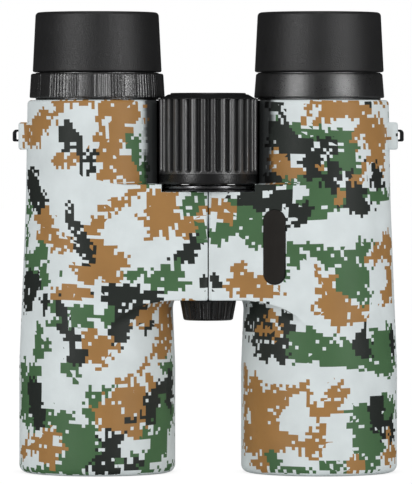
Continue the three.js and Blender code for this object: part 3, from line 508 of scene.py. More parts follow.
LEFT_PRINT = (
    (WHITE, (
        (37, 122, 12.8, 2.2),
    )),
    (BLACK, (
        (22, 121.5, 2.6, 1.6), (24.5, 119, 1.2, 1.4),
    )),
    (GREEN, (
        (26.5, 114.5, 4.4, 2), (33.5, 112, 6.2, 3.2), (41.5, 113, 4, 2.2), (46, 109, 4, 5.4),
        (44.5, 103.5, 6.8, 4), (37, 97, 5.6, 4.4), (39, 91.5, 7.4, 4.8), (37, 87, 4.6, 2.6),
        (57.5, 92.5, 3.4, 2.2), (22.5, 116.5, 1.4, 1.8), (32, 98, 3.4, 2.4), (26.5, 96.5, 2.4, 2),
        (32.5, 91, 3.4, 3),
    )),
    (BROWN, (
        (46, 121, 8.4, 2.6, -8), (41.5, 122, 3.4, 1.6), (53.5, 113.5, 5, 5, -10), (54.5, 107.5, 3.8, 5),
        (59.5, 112, 3.2, 2.8), (56, 103.5, 2.2, 2.8), (32.5, 119, 1.2, 3.2, -15), (35.5, 116.5, 1.4, 0.8),
        (58.5, 123, 2.4, 0.8), (57.5, 100, 1, 1.4), (39.5, 119.5, 3.2, 3), (49, 111.5, 1.6, 3.2),
    )),
    (BLACK, (
        (28.5, 108.5, 8.4, 4, -8), (34, 105, 4.4, 3.4), (34.5, 101, 3.4, 2.6), (25, 109.5, 5.2, 3),
        (39.5, 109, 3.2, 2.2, -20), (41, 99, 2.8, 4.2), (40, 96.5, 2.4, 1.6), (47, 99, 1.4, 1.6),
        (49, 92.5, 3.8, 3.2), (49.5, 89.5, 4.6, 2.6), (51, 86, 1.6, 1.6), (55.5, 98, 1.8, 4, -8),
        (57, 95.5, 1.6, 1), (53, 123, 1.6, 0.8), (51.5, 104, 0.8, 1.2), (23.5, 114, 3, 3.6),
        (48, 95.5, 2.6, 2.2),
    )),
    (BROWN, (
        (25.5, 100.5, 4.6, 2.2), (25, 103.5, 1, 2.2), (22, 104.5, 2, 2.2), (37.5, 101.5, 1, 1),
        (49, 97.5, 2, 1), (43.5, 92, 1.2, 2.2, -30), (53, 93, 1.2, 1, -30), (51, 101, 0.8, 1.8),
    )),
    (GREEN, (
        (10.5, 87.5, 5.8, 3.8), (13, 83.5, 6.2, 4.4), (16.5, 78.5, 3.2, 2.6), (6.5, 82.5, 3, 3.4),
        (3, 79.5, 3, 2.8), (54.5, 92.5, 2, 1.6),
    )),
    (BLACK, (
        (14, 91.5, 6.2, 2.6, -8), (20, 90, 5.2, 3.2), (24.5, 92.5, 2.6, 3.4), (29.5, 87, 4, 2.6),
        (28.5, 82.5, 2.8, 1.6), (32.5, 87.5, 1.6, 1.6), (18, 96, 3.8, 4),
    )),
    (BROWN, (
        (3.5, 88, 3.6, 2.4), (6.5, 86, 1.4, 2.2),
    )),
    (WHITE, (
        (30, 94, 1.8, 1.4), (43, 115.5, 3.4, 0.8), (50.5, 110.5, 0.8, 1.4, 20), (51.5, 106.5, 1.8, 1.2),
        (49, 105, 0.6, 1.2), (49, 82.5, 11.6, 2.8, 6), (42, 81.5, 5, 3.4), (32.5, 79, 6.6, 2, -12),
    )),
    (GREEN, (
        (28.5, 72.5, 3.4, 3.2), (30.5, 77, 0.6, 2.2), (34.5, 74.5, 3.4, 2, -30),
        (39.5, 72.5, 6.2, 2.6, -15), (45, 71.5, 6.8, 3), (47.5, 66.5, 5.2, 4.4), (25.5, 66, 1.8, 1.8),
        (44.5, 62.5, 3.4, 2.8), (52, 75.5, 3.4, 2),
    )),
    (BROWN, (
        (57.5, 74.5, 4.6, 2.8, 20), (60, 77.5, 2.2, 2.2), (54, 72, 2.6, 1, 10), (60.5, 70, 1.4, 7.2),
        (10, 68, 2.2, 2.8, -30), (14, 63.5, 5.2, 2.8), (11, 62.5, 3.4, 1.6), (38.5, 64, 2.8, 2.8),
        (36, 67.5, 0.6, 2.8),
    )),
    (GREEN, (
        (46, 61.5, 4, 3.6), (51.5, 59, 2.2, 3.4),
    )),
    (BROWN, (
        (16, 61, 6.4, 2.6), (40.5, 57, 5.2, 5, -35), (38, 60.5, 2.2, 3.6), (44.5, 53, 4, 2.8),
        (48.5, 53.5, 3.4, 3.2), (43, 50.5, 0.6, 2.8), (59.5, 60, 2.2, 2.8, 30), (61, 62.5, 1.2, 2.2),
    )),
    (BLACK, (
        (15.5, 51.5, 4.2, 4.6, 30), (20.5, 48, 5.2, 6), (19.5, 42, 4, 3), (25.5, 47.5, 2.8, 5.4),
        (3, 64, 1.4, 2),
    )),
    (BROWN, (
        (17.5, 48, 1.6, 1.4), (22.5, 48.5, 1.2, 3.8, -8), (21, 52.5, 1.6, 1.6),
    )),
    (GREEN, (
        (33, 44.5, 7.2, 3.2), (28.5, 41, 5.2, 3.2), (40.5, 40, 9, 3.6), (48, 40, 6.8, 4.4),
        (57, 43, 5.2, 6.2), (59.5, 37, 3.8, 4), (55, 35.5, 3.2, 1.8),
    )),
    (BLACK, (
        (51, 43, 2.4, 4.8), (61.5, 43, 1.2, 4.4), (24, 41, 2.2, 3),
    )),
    (BROWN, (
        (16.5, 25, 4, 5.4), (15.5, 30.5, 1.8, 2), (12, 31.5, 1.2, 4.4), (20.5, 26, 3.4, 2.8),
        (26, 27.5, 4, 2, -5), (24, 23.5, 2.8, 2.6), (31.5, 27.5, 1.8, 2.6), (18.5, 16.5, 5.2, 5),
        (20.5, 11.5, 5.6, 4.2), (16, 9.5, 4, 3.2), (18.5, 4, 3.4, 2.6), (13.5, 14, 2.8, 3.4),
        (12, 24, 1.2, 4.4), (42.5, 26.5, 3, 4.6, -25), (39.5, 22, 3.2, 3), (34.5, 21.5, 1.6, 2.2, -30),
        (43, 30.5, 1.6, 1.8), (28, 13, 2.2, 4), (35, 11, 3.6, 2.6), (37, 14.5, 1.2, 2.2),
        (34, 7.5, 2.8, 1.4), (33, 15, 1, 1.8),
    )),
    (GREEN, (
        (51.5, 19.5, 3.4, 3.4), (52.5, 15, 5.2, 4), (53.5, 9.5, 5.2, 4.4), (48, 22, 2.2, 1.6),
        (48.5, 17, 2, 2.4), (60, 21, 2.8, 3.4), (53.5, 4, 3.4, 2.8), (58, 25, 1.6, 2.2),
    )),
    (BLACK, (
        (55.5, 22.5, 2.6, 4.4, -10), (56, 17.5, 2.4, 3.4, -10), (59.5, 14, 2.4, 4),
    )),
    (GREEN, (
        (21.5, 5, 2, 3, 20), (28, 2, 5.2, 1), (42.5, 3.5, 4.6, 1.4),
    )),
    (BROWN, (
        (48.5, 4, 2.8, 2.2), (60.5, 6.5, 2.4, 2.6), (59.5, 12.5, 0.6, 2.6),
    )),
    (WHITE, (
        (29, 19.5, 3.4, 6.6), (35.5, 37.5, 0.6, 0.6),
    )),
)

REACH = 1.6  # how far past its border a patch's gradient runs, so that ragged cells can stand outside it
PATCH_SCALES = (1.5, 2.5, 4.0)
DRIFT = 4.0  # how far the rows of cells wander, over features of the next size
DRIFT_SIZE = 34
CLUMP_SIZE = 2.6
PAIRED = 0.2  # share of the cell pairs that are drawn as one wide or tall cell
STRAY = 0.05  # share of the cells that fall out of their own patch, and of those that join a near one
STRAY_JUMP = 2.6
FRONT_REACH = 40.0  # round the barrel from its front line, where noise takes over from the patches
BACK_PATCHES = ((BROWN, 13, 0.55), (GREEN, 15, 0.56), (BLACK, 10, 0.6))  # colour, size, threshold
WHEEL_SHADE_NEAR, WHEEL_SHADE_FAR = 21.0, 24.0  # from the hinge axis, between painted shade beside the focus wheel and full print


def patch_placing(patch):
    """Centre, half sizes and tilt of a patch on the unrolled barrel."""
    x, z, half_width, half_height, *tilt = patch
    side = 1 if x > 0 else -1
    ends = [unroll(side * (abs(x) + d), z) for d in (-half_width, half_width)]
    half = max(abs(ends[0] - ends[1]) / 2, half_width)
    return (sum(ends) / 2, z), (half, half_height), math.radians(-side * sum(tilt))


def camouflage(name, layers, seed):
    """Square cells of print. Each patch is an ellipse on the unrolled barrel, taken at the cells' middles."""
    s = Shader(name)
    unrolled = s.vector("SCALE", s.node("ShaderNodeUVMap", uv_map="print").outputs[0], scale=100.0)

    def on_tube(distance, height):
        """The point on a round tube, so that noise meets itself at the back."""
        turn = s.math("DIVIDE", distance, UNROLLED_RADIUS)
        east = s.math("MULTIPLY", s.math("COSINE", turn), UNROLLED_RADIUS)
        north = s.math("MULTIPLY", s.math("SINE", turn), UNROLLED_RADIUS)
        return s.node("ShaderNodeCombineXYZ", {0: east, 1: north, 2: height}).outputs[0]

    round_place = s.vector("ADD", on_tube(*s.split(unrolled)[:2]), (seed * 71.0, 0.0, seed * 33.0))
    inputs = {"Vector": round_place, "Scale": 1 / DRIFT_SIZE, "Detail": 0.0}
    drift = s.node("ShaderNodeTexNoise", inputs).outputs["Color"]
    drift = s.vector("SCALE", s.vector("SUBTRACT", drift, (0.5, 0.5, 0.5)), scale=DRIFT)
    placed = s.vector("ADD", unrolled, drift)

    # Some neighbouring cells share one colour, so that blocks two cells wide or tall appear.
    pair = s.vector("FLOOR", s.vector("SCALE", placed, scale=0.5 / CELL))
    lot = s.node("ShaderNodeTexWhiteNoise", {"Vector": pair}, noise_dimensions="3D").outputs["Color"]
    lots = s.node("ShaderNodeSeparateColor", {0: lot}).outputs
    doubled = [s.math("GREATER_THAN", lots[i], 1 - PAIRED) for i in (0, 1)]
    wide, tall = (s.math("MULTIPLY_ADD", chosen, CELL, CELL) for chosen in doubled)
    size = s.node("ShaderNodeCombineXYZ", {0: wide, 1: tall, 2: CELL}).outputs[0]
    cell = s.vector("FLOOR", s.vector("DIVIDE", placed, size))
    middle = s.vector("MULTIPLY", s.vector("ADD", cell, (0.5, 0.5, 0.5)), size)
    middle = s.vector("SUBTRACT", middle, drift)
    distance, height = s.split(middle)[:2]
    middle = s.node("ShaderNodeCombineXYZ", {0: distance, 1: height}).outputs[0]

    # How ragged a patch's border is at each cell, in millimetres: above 0 the patch draws back from it.
    dice = s.node("ShaderNodeTexWhiteNoise", {"Vector": cell}, noise_dimensions="3D").outputs["Color"]
    throws = s.node("ShaderNodeSeparateColor", {0: dice}).outputs
    cell_place = s.vector("ADD", on_tube(distance, height), (seed * 19.0, seed * 7.0, 0.0))
    clump = s.spread(s.noise(CLUMP_SIZE, detail=1, where=cell_place), -1.1, 0.5)
    jitter = s.math("ADD", clump, s.math("MULTIPLY_ADD", throws[0], 1.7, -0.85))
    stray = s.math("MULTIPLY", s.math("GREATER_THAN", throws[1], 1 - STRAY), -STRAY_JUMP)
    hole = s.math("MULTIPLY", s.math("LESS_THAN", throws[1], STRAY), STRAY_JUMP)
    jitter = s.math("ADD", jitter, s.math("ADD", stray, hole))
    inside = 1 - 1 / REACH
    limits = {}

    def limit(scale):
        """The gradient value at a patch's ragged border, for patches of about this size."""
        if scale not in limits:
            ragged = s.math("MULTIPLY_ADD", jitter, 1 / (REACH * scale), inside)
            limits[scale] = s.math("MAXIMUM", ragged, 0.01)
        return limits[scale]

    # Behind the listed patches of the front, the same four colours come from clumped noise.
    back = 0.0
    for colour, scale, share in BACK_PATCHES:
        field = s.noise(scale, where=cell_place, seed=colour + seed)
        ragged = s.math("MULTIPLY_ADD", jitter, -0.022, field)
        back = s.choose(s.math("GREATER_THAN", ragged, share), back, float(colour))
    off_front = s.math("ABSOLUTE", s.math("ADD", distance, s.math("MULTIPLY", jitter, 2.0)))
    index = s.math("MULTIPLY", back, s.math("GREATER_THAN", off_front, FRONT_REACH))
    for colour, patches in layers:
        for patch in patches:
            centre, half, tilt = patch_placing(patch)
            spot = s.node("ShaderNodeTexGradient", {"Vector": middle}, gradient_type="SPHERICAL")
            spot.texture_mapping.vector_type = "TEXTURE"
            spot.texture_mapping.translation = (*centre, 0)
            spot.texture_mapping.rotation = (0, 0, tilt)
            spot.texture_mapping.scale = (half[0] * REACH, half[1] * REACH, 1)
            scale = min(PATCH_SCALES, key=lambda size: abs(size - min(half)))
            covered = s.math("GREATER_THAN", spot.outputs["Fac"], limit(scale))
            index = s.choose(covered, index, float(colour))

    ramp = s.node("ShaderNodeValToRGB", {0: s.math("MULTIPLY_ADD", index, 0.25, 0.125)})
    ramp.color_ramp.interpolation = "CONSTANT"
    while len(ramp.color_ramp.elements) < len(PRINT_COLOURS):
        ramp.color_ramp.elements.new(0.5)
    for colour, element in enumerate(ramp.color_ramp.elements):
        element.position = colour * 0.25
    for colour, element in enumerate(ramp.color_ramp.elements):
        element.color = (*PRINT_COLOURS[colour], 1)

    # Painted shade: beside the focus wheel, down in its recess, the print's colour is darkened nearly to black.
    ragged = s.math("MULTIPLY_ADD", jitter, -0.5, s.hinge_distance())
    wheel_shade_factor = s.remap(ragged, WHEEL_SHADE_NEAR, WHEEL_SHADE_FAR, 0.05, curve="SMOOTHSTEP")
    below_wheel = s.math("LESS_THAN", s.split(s.position)[2], BRIDGE_HIGH + 0.2)
    wheel_shade_factor = s.math("MAXIMUM", wheel_shade_factor, below_wheel)

    fade = s.spread(s.noise(9, detail=3, seed=4), 0.94, 1.05)
    skin = s.noise(0.5, detail=3)
    # The print's colour times its random fade and the painted shade beside the wheel.
    s.set(Base_Color=s.vector("SCALE", ramp.outputs[0], scale=s.math("MULTIPLY", fade, wheel_shade_factor)))
    s.set(Roughness=s.spread(skin, 0.46, 0.56), Specular_IOR_Level=0.42)
    s.set(Normal=s.bump(skin, 0.035, below=s.bump(s.noise(7, detail=2, seed=6), 0.12)))
    return s.material


# ---- armour ----


def ray_to_line(angle, start, end):
    c, s = math.cos(angle), math.sin(angle)
    return (start[0] * end[1] - end[0] * start[1]) / (c * (end[1] - start[1]) - s * (end[0] - start[0]))


def saddle_height(u, radius):
    t = min(max(u / SEAM_REACH, 0), 1)
    return radius - SADDLE_DIP * t * t * (3 - 2 * t)


def ray_to_saddle(angle, radius):
    near, far = 0, SEAM_REACH
    for _ in range(34):
        u = (near + far) / 2
        if u * math.sin(angle) < saddle_height(u, radius) * math.cos(angle):
            near = u
        else:
            far = u
    return math.hypot(near, saddle_height(near, radius))


CORNER_ANGLE = math.atan2(UNDERSIDE_CORNER[1], UNDERSIDE_CORNER[0])
SEAM_LOW = math.atan2(-HINGE_Y, SEAM_REACH)
BRIDGE_RADIUS = radius_at(77)  # of the barrel, at the bridge's middle height


def tangent_angle(radius):
    return CORNER_ANGLE - math.acos(radius / math.hypot(*UNDERSIDE_CORNER))


def seam_top_angle(radius):
    return math.atan2(radius - SADDLE_DIP, SEAM_REACH)


def bridge_radius(angle, radius):
    """Outline of one half at the height of the bridge, as a distance from the barrel axis."""
    tangent = tangent_angle(radius)
    if angle >= math.pi / 2 or angle <= tangent:
        return radius
    if angle < CORNER_ANGLE:
        return radius / math.cos(angle - tangent)
    if angle < SEAM_LOW:
        return ray_to_line(angle, UNDERSIDE_CORNER, (SEAM_REACH, -HINGE_Y))
    if angle < seam_top_angle(radius):
        return SEAM_REACH / math.cos(angle)
    return ray_to_saddle(angle, radius)


def bridge_low_edge(angle):
    """The bridge's lower edge sweeps down as it runs out onto the barrel."""
    reach, flat = 30, 10
    u = bridge_radius(angle, radius_at(BRIDGE_LOW)) * math.cos(angle)
    t = min(max((BARREL_X - u - flat) / reach, 0), 1) if angle > 0 else 0
    return BRIDGE_LOW - EDGE_SWEEP * t * t


def arc(count):
    return np.linspace(0, math.pi / 2, count + 1)


def armour_profile(angle):
    """Points up one side as (height, radius), the same number at every angle."""
    low = bridge_low_edge(angle)
    rows = []

    def add(z, swell):
        radius = radius_at(z)
        rows.append((z, radius + swell(bridge_radius(angle, radius) - radius)))

    for t in arc(8):
        add(RIM_ROUND * (1 - math.cos(t)), lambda rise: -RIM_ROUND * (1 - math.sin(t)))
    for z in np.linspace(RIM_ROUND, low - FILLET, 12)[1:-1]:
        add(z, lambda rise: 0)
    for t in arc(8):
        add(low - FILLET * (1 - math.sin(t)), lambda rise: min(rise, FILLET_REACH * (1 - math.cos(t))))
    for part in (0.35, 0.7):
        add(low, lambda rise: min(rise, FILLET_REACH + part * max(rise - EDGE_ROUND - FILLET_REACH, 0)))
    for t in arc(4):
        inset = EDGE_ROUND * (1 - math.sin(t))
        add(low + EDGE_ROUND * (1 - math.cos(t)), lambda rise: max(min(rise, FILLET_REACH), rise - inset))
    for z in np.linspace(low + EDGE_ROUND, BRIDGE_HIGH - EDGE_ROUND, 14)[1:-1]:
        add(z, lambda rise: rise)
    for t in arc(4):
        inset = EDGE_ROUND * (1 - math.cos(t))
        add(BRIDGE_HIGH - EDGE_ROUND * (1 - math.sin(t)),
            lambda rise: max(min(rise, SHOULDER_FILLET), rise - inset))
    for part in (0.7, 0.35):
        add(BRIDGE_HIGH, lambda rise: min(rise, SHOULDER_FILLET + part * max(rise - SHOULDER_FILLET, 0)))
    for t in arc(5):
        swell = SHOULDER_FILLET * (1 - math.sin(t))
        add(BRIDGE_HIGH + SHOULDER_FILLET * (1 - math.cos(t)), lambda rise: min(rise, swell))
    for z in np.linspace(BRIDGE_HIGH + SHOULDER_FILLET, BODY_TOP - TOP_ROUND, 8)[1:-1]:
        add(z, lambda rise: 0)
    for t in arc(6):
        add(BODY_TOP - TOP_ROUND * (1 - math.sin(t)), lambda rise: -TOP_ROUND * (1 - math.cos(t)))
    return rows


def armour_angles():
    step = math.radians(1.5)
    stops = [-math.pi / 2, tangent_angle(BRIDGE_RADIUS), CORNER_ANGLE, SEAM_LOW,
             seam_top_angle(BRIDGE_RADIUS), math.pi / 2, 3 * math.pi / 2]
    angles = []
    for start, end in zip(stops, stops[1:]):
        count = math.ceil((end - start) / step)
        angles += list(np.linspace(start, end, count + 1)[:-1])
    return angles


def armour_skin():
    """The outside of one half about its barrel axis, closed at both ends."""
    angles = armour_angles()
    columns = [armour_profile(angle) for angle in angles]
    count, rows = len(columns), len(columns[0])
    vertices = []
    for row in range(rows):
        for angle, column in zip(angles, columns):
            z, r = column[row]
            vertices.append((-r * math.cos(angle), -r * math.sin(angle), z))
    faces = []
    for start in range(0, (rows - 1) * count, count):
        for j in range(count):
            n = (j + 1) % count
            faces.append([start + j, start + n, start + count + n, start + count + j])
    low_centre = len(vertices)
    vertices += [(0, 0, 0), (0, 0, BODY_TOP)]
    top = (rows - 1) * count
    for j in range(count):
        n = (j + 1) % count
        faces += [[low_centre, n, j], [low_centre + 1, top + j, top + n]]
    return new_object("skin", vertices, faces)


def inner_wall(inset, low, high):
    """Outline of the inside of the armour, or of the outside of the shell, at an inset from the barrel."""
    middle = [(r - inset, z) for z, r in BARREL_RADII[1:-1]]
    return [(radius_at(low) - inset, low), *middle, (radius_at(BODY_TOP) - inset, high)]


def web_outline(margin):
    """The hard web inside the bridge, swollen by a margin."""
    tangent = math.radians(-37)
    under, over, reach = 22 + margin, 19.6 + margin, 17
    foot = (under * math.cos(tangent), under * math.sin(tangent))
    points = [(6, 6), (12, over), (31, over), (34.6 + margin, 17.6), (35.6, -HINGE_Y), (32.4, 2.9),
              (foot[0] - reach * math.sin(tangent), foot[1] + reach * math.cos(tangent)), foot]
    return [(-u, -v) for u, v in points][::-1]


HINGE = (-BARREL_X, HINGE_Y)  # from the barrel axis

LOOP = at["left_strap_loop"]
LOOP_ROOT = LOOP.low[0] - BARREL_X
LOOP_REACH = LOOP.high[0] - BARREL_X
LOOP_HALF_WIDTH = LOOP.high[1]
LOOP_BAR = 1.1
LOOP_ARM = 0.7
LUG_REACH = LOOP_REACH - 2
LUG_HALF_WIDTH = LOOP_HALF_WIDTH + 3.5
LUG_LOW = LOOP.bottom - 2.7
LUG_HIGH = LOOP.top + 2.4

FRONT = 23.7  # how far the badge's face stands in front of the barrel axis
BADGE_DEPTH = 1.3
BADGE = at["left_badge_inlay"]
BADGE_X = BADGE.middle[0] - BARREL_X
BADGE_HALF_WIDTH = BADGE.radius
BADGE_HALF_LENGTH = (BADGE.top - BADGE.bottom) / 2


def lug_boss():
    corners = [(12, -LUG_HALF_WIDTH, 0), (LUG_REACH, -LUG_HALF_WIDTH, 2.4), (LUG_REACH, LUG_HALF_WIDTH, 2.4),
               (12, LUG_HALF_WIDTH, 0)]
    return plate("boss", rounded(corners), LUG_LOW, LUG_HIGH, bevel=0.8)


def lug_cuts():
    """The two slots for the loop's arms."""
    half = LOOP_HALF_WIDTH + 0.15
    return [block(LOOP_ROOT - GAP, 30, -half, half, low - 0.15, low + LOOP_ARM + 0.15)
            for low in (LOOP.bottom, LOOP.top - LOOP_ARM)]


def badge_plate(name, margin, inner, outer, bevel=0.0):
    """A long plate with round ends, standing in the bridge and facing the front."""
    half = BADGE_HALF_WIDTH + margin
    length = BADGE_HALF_LENGTH + margin
    corners = ((-half, -length), (half, -length), (half, length), (-half, length))
    outline = rounded([(*corner, half * 0.999) for corner in corners], steps=12)
    made = plate(name, outline, inner, outer, bevel)
    made.data.transform(Matrix.Rotation(math.pi / 2, 4, "X"))
    return moved(made, BADGE_X, 0, BADGE.middle[2])


def print_map(mesh, side):
    """UV map "print": distance round the barrel from its front line and height, in decimetres."""
    tangent = tangent_angle(BRIDGE_RADIUS)
    spans = {}
    for part, (start, end) in {"front": (math.pi / 2, SEAM_LOW), "back": (tangent, SEAM_LOW)}.items():
        angles = np.linspace(start, end, 120)
        reach = np.array([bridge_radius(a, BRIDGE_RADIUS) for a in angles])
        points = np.stack([reach * np.cos(angles), reach * np.sin(angles)], 1)
        length = np.concatenate([[0], np.cumsum(np.linalg.norm(np.diff(points, axis=0), axis=1))])
        spans[part] = (angles, length)

    count = len(mesh.vertices)
    places = np.zeros(count * 3)
    mesh.vertices.foreach_get("co", places)
    places = places.reshape(-1, 3) / MM
    u, v, z = BARREL_X - side * places[:, 0], -places[:, 1], places[:, 2]
    r = np.hypot(u, v)
    angle = np.arctan2(v, u)
    angle = np.where(angle < -math.pi / 2, angle + 2 * math.pi, angle)
    barrel = np.interp(z, *zip(*BARREL_RADII))
    bridge = np.array([bridge_radius(a, b) for a, b in zip(angle, barrel)])
    share = np.clip((r - barrel) / np.maximum(bridge - barrel, 0.4), 0, 1) * (bridge > barrel + 0.05)
    outward = r - np.where(share > 0, bridge, barrel)

    layer = mesh.uv_layers.new(name="print")
    flat = np.zeros((len(mesh.loops), 2))
    for face in mesh.polygons:
        corners = list(face.loop_indices)
        vertex = list(face.vertices)
        turn = angle[vertex]
        if turn.max() - turn.min() > math.pi:
            turn = np.where(turn > math.pi, turn - 2 * math.pi, turn)
        plain = UNROLLED_RADIUS * (math.pi / 2 - turn)
        if turn.mean() > SEAM_LOW:
            angles, length = spans["front"]
            along = np.interp(-turn, -angles, length)
        else:
            angles, length = spans["back"]
            along = math.pi * UNROLLED_RADIUS - (tangent + math.pi / 2) * UNROLLED_RADIUS
            along = along - np.interp(turn, angles, length)
        part = share[vertex]
        distance = (1 - part) * plain + part * along
        height = z[vertex]
        level = face.normal[2]
        beyond = outward[vertex]
        if abs(level) > 0.7:
            height = height - np.sign(level) * beyond
        elif beyond.max() > 0.3:
            distance = distance - np.maximum(beyond, 0)
        flat[corners, 0] = distance
        flat[corners, 1] = height
    layer.data.foreach_set("uv", (flat / 100).ravel())


def armour(side_name):
    """Rubber skin of one half, with its lug, bridge cover and pockets."""
    side = 1 if side_name == "left" else -1
    body = armour_skin()
    join(body, lug_boss())
    wall = [(0, LIP_HEIGHT), *inner_wall(WALL, LIP_HEIGHT, BODY_TOP + 1), (0, BODY_TOP + 1)]
    lip = rounded([(0, -1, 0), (LIP_RADIUS + 1.6, -1, 0), (LIP_RADIUS, 0.6, 0.8),
                   (LIP_RADIUS, LIP_HEIGHT + 1, 0), (0, LIP_HEIGHT + 1, 0)], closed=False)
    cut(body,
        turned("bore", wall),
        turned("lip", lip),
        plate("web", web_outline(GAP), WEB_LOW - GAP, BRIDGE_HIGH - 4),
        disc(HINGE_CLEAR, 50, BRIDGE_HIGH + 1, HINGE),
        disc(WHEEL_SCOOP, BRIDGE_HIGH + 0.01, BODY_TOP + 1, HINGE, sides=160),
        disc(COLLAR_RECESS, COLLAR_FLOOR, BRIDGE_HIGH + 1, HINGE),
        moved(block(-COLLAR_RECESS, COLLAR_RECESS, -20, 0, COLLAR_FLOOR, BRIDGE_HIGH + 0.2), *HINGE),
        *lug_cuts())
    if side_name == "left":
        cut(body, badge_plate("pocket", GAP / 2, FRONT - BADGE_DEPTH - GAP, 40))
    moved(body, BARREL_X, 0)
    if side < 0:
        mirror(body)
    print_map(body.data, side)
    return body


# ---- body shell ----

KNUCKLES = {"left": ((WEB_LOW, 65.9), (86, 93.5)), "right": ((75, 85.7),)}
KNUCKLE_RADIUS = 9
HINGE_BORES = {"left": 6.8, "right": 7.9}
HINGE_DISTANCE = math.hypot(*HINGE)
ARM_WINDOW = (66.2, 74.7)  # heights of the window that the focusing lens's arm passes through
BORES = ((22.7, 0), (22, 17), (19.8, 51.2), (18.6, 74.5))  # radii up the tube, and where each begins


def towards_hinge(width, near, far, low, high):
    bar = block(near, far, -width / 2, width / 2, low, high)
    bar.data.transform(Matrix.Rotation(math.atan2(HINGE_Y, -BARREL_X), 4, "Z"))
    return bar


def body_shell(side_name):
    """Rigid tube with its stepped bores, the web inside the bridge and this half's hinge knuckles."""
    low, high = at["left_body_shell"].bottom, at["left_body_shell"].top
    body = plate("web", web_outline(0), WEB_LOW, WEB_HIGH)
    cut(body, disc(HINGE_CLEAR, WEB_LOW - 1, WEB_HIGH + 1, HINGE))
    knuckles = []
    for start, end in KNUCKLES[side_name]:
        edge = [(0, start, 0), (KNUCKLE_RADIUS, start, 0.5), (KNUCKLE_RADIUS, end, 0.5), (0, end, 0)]
        knuckles.append(turned("knuckle", rounded(edge, closed=False), HINGE))
        knuckles.append(towards_hinge(10, 20, HINGE_DISTANCE - 2, start + 0.01, min(end, WEB_HIGH) - 0.01))
    join(body, *knuckles)
    inside = [(BORES[0][0], low)]
    for (wide, _), (narrow, start) in zip(BORES, BORES[1:]):
        inside += [(wide, start), (narrow, start)]
    inside.append((BORES[-1][0], high))
    prism_bore = BORES[2][0]
    cut(body, turned("hollow", [(0, low - 1), (prism_bore, low - 1), *inside[-3:-1],
                                (BORES[-1][0], high + 1), (0, high + 1)]))
    join(body, turned("tube", [inside[0], *inner_wall(WALL + GAP, low, high), *inside[:0:-1]]))
    scoop = disc(SHELL_SCOOP, 93.6, high + 1, HINGE, sides=160)
    cut(scoop, disc(KNUCKLE_RADIUS + 0.01, 88.6, 93.7, HINGE))
    bore = disc(HINGE_BORES[side_name], low, high, HINGE)
    cut(body, bore, scoop, towards_hinge(6, 14, HINGE_DISTANCE, *ARM_WINDOW))
    moved(body, BARREL_X, 0)
    return body if side_name == "left" else mirror(body)


# ---- turned pieces, about a barrel axis ----


def eyecup_rubber(name, place, centre):
    low, high = place.bottom, place.top
    outline = rounded([(18.1, low, 0.3), (21.5, low, 0.55), (20.5, high, 1.3), (16.4, high, 1.1),
                       (14.8, high - 3.3, 0.3), (18.1, high - 3.3, 0)], steps=7)
    return turned(name, outline, centre, sides=128)


def eyecup_core(name, place, centre):
    low, high = place.bottom, place.top
    outline = rounded([(16.3, low, 0.2), (17.8, low, 0.3), (17.8, high, 0), (12.4, high, 0.3),
                       (12.4, high - 1.5, 0.3), (16.3, high - 1.5, 0)])
    return turned(name, outline, centre)


def eyecup_sleeve(name, place, centre):
    """Guide sleeve with the two rising tracks that lift the eyecup."""
    low, high, outside = place.bottom, place.top, 16
    climb, end, half_width, depth = math.radians(120), 2, 0.9, 0.55
    slant = 0.62  # the track's width square to its slope, as a share of its width round the sleeve
    outline = [(14.9, low), (outside - 0.2, low), (outside, low + 0.2)]
    outline += [(outside, z) for z in np.linspace(low + 0.8, high - 0.8, 26)]
    outline += [(outside, high - 0.2), (outside - 0.2, high), (14.9, high)]

    def tracks(angles, z, radius):
        share = (z - low - end) / (high - low - 2 * end)
        if radius < outside - 0.1 or not 0 <= share <= 1:
            return 0 * angles
        nearest = (angles - climb * share + math.pi / 2) % math.pi - math.pi / 2
        return np.where(np.abs(nearest) * outside * slant < half_width, -depth, 0)

    return turned(name, outline, centre, sides=240, relief=tracks)


def wall_rows(low_corner, high_corner, count):
    """Points up a sloping wall."""
    low, high = np.array(low_corner), np.array(high_corner)
    return [low * (1 - t) + high * t for t in np.linspace(0, 1, count)]


SEAT_RADIUS = 18.6
NECK_RADIUS = 20.5
RING_LOW = BODY_TOP + 0.7
RING_HIGH = at["left_eyecup_rubber"].bottom - 0.5


def ring_outline(place, low_radius, high_radius, steps=2):
    """The ring between its narrower neck and the low step under the eyecup."""
    neck = [(SEAT_RADIUS, place.bottom, 0), (NECK_RADIUS, place.bottom, 0.1), (NECK_RADIUS, RING_LOW, 0)]
    step = [(NECK_RADIUS, RING_HIGH, 0), (NECK_RADIUS, place.top, 0.1), (SEAT_RADIUS, place.top, 0)]
    low_edge, high_edge = (low_radius, RING_LOW), (high_radius, RING_HIGH)
    low_corner = rounded([neck[-1], (*low_edge, 0.45), (*high_edge, 0)], closed=False)[1:-1]
    high_corner = rounded([(*low_edge, 0), (*high_edge, 0.6), step[0]], closed=False)[1:-1]
    wall = wall_rows(low_corner[-1], high_corner[0], steps)[1:-1]
    return [*rounded(neck, closed=False), *low_corner, *wall, *high_corner, *rounded(step, closed=False)]


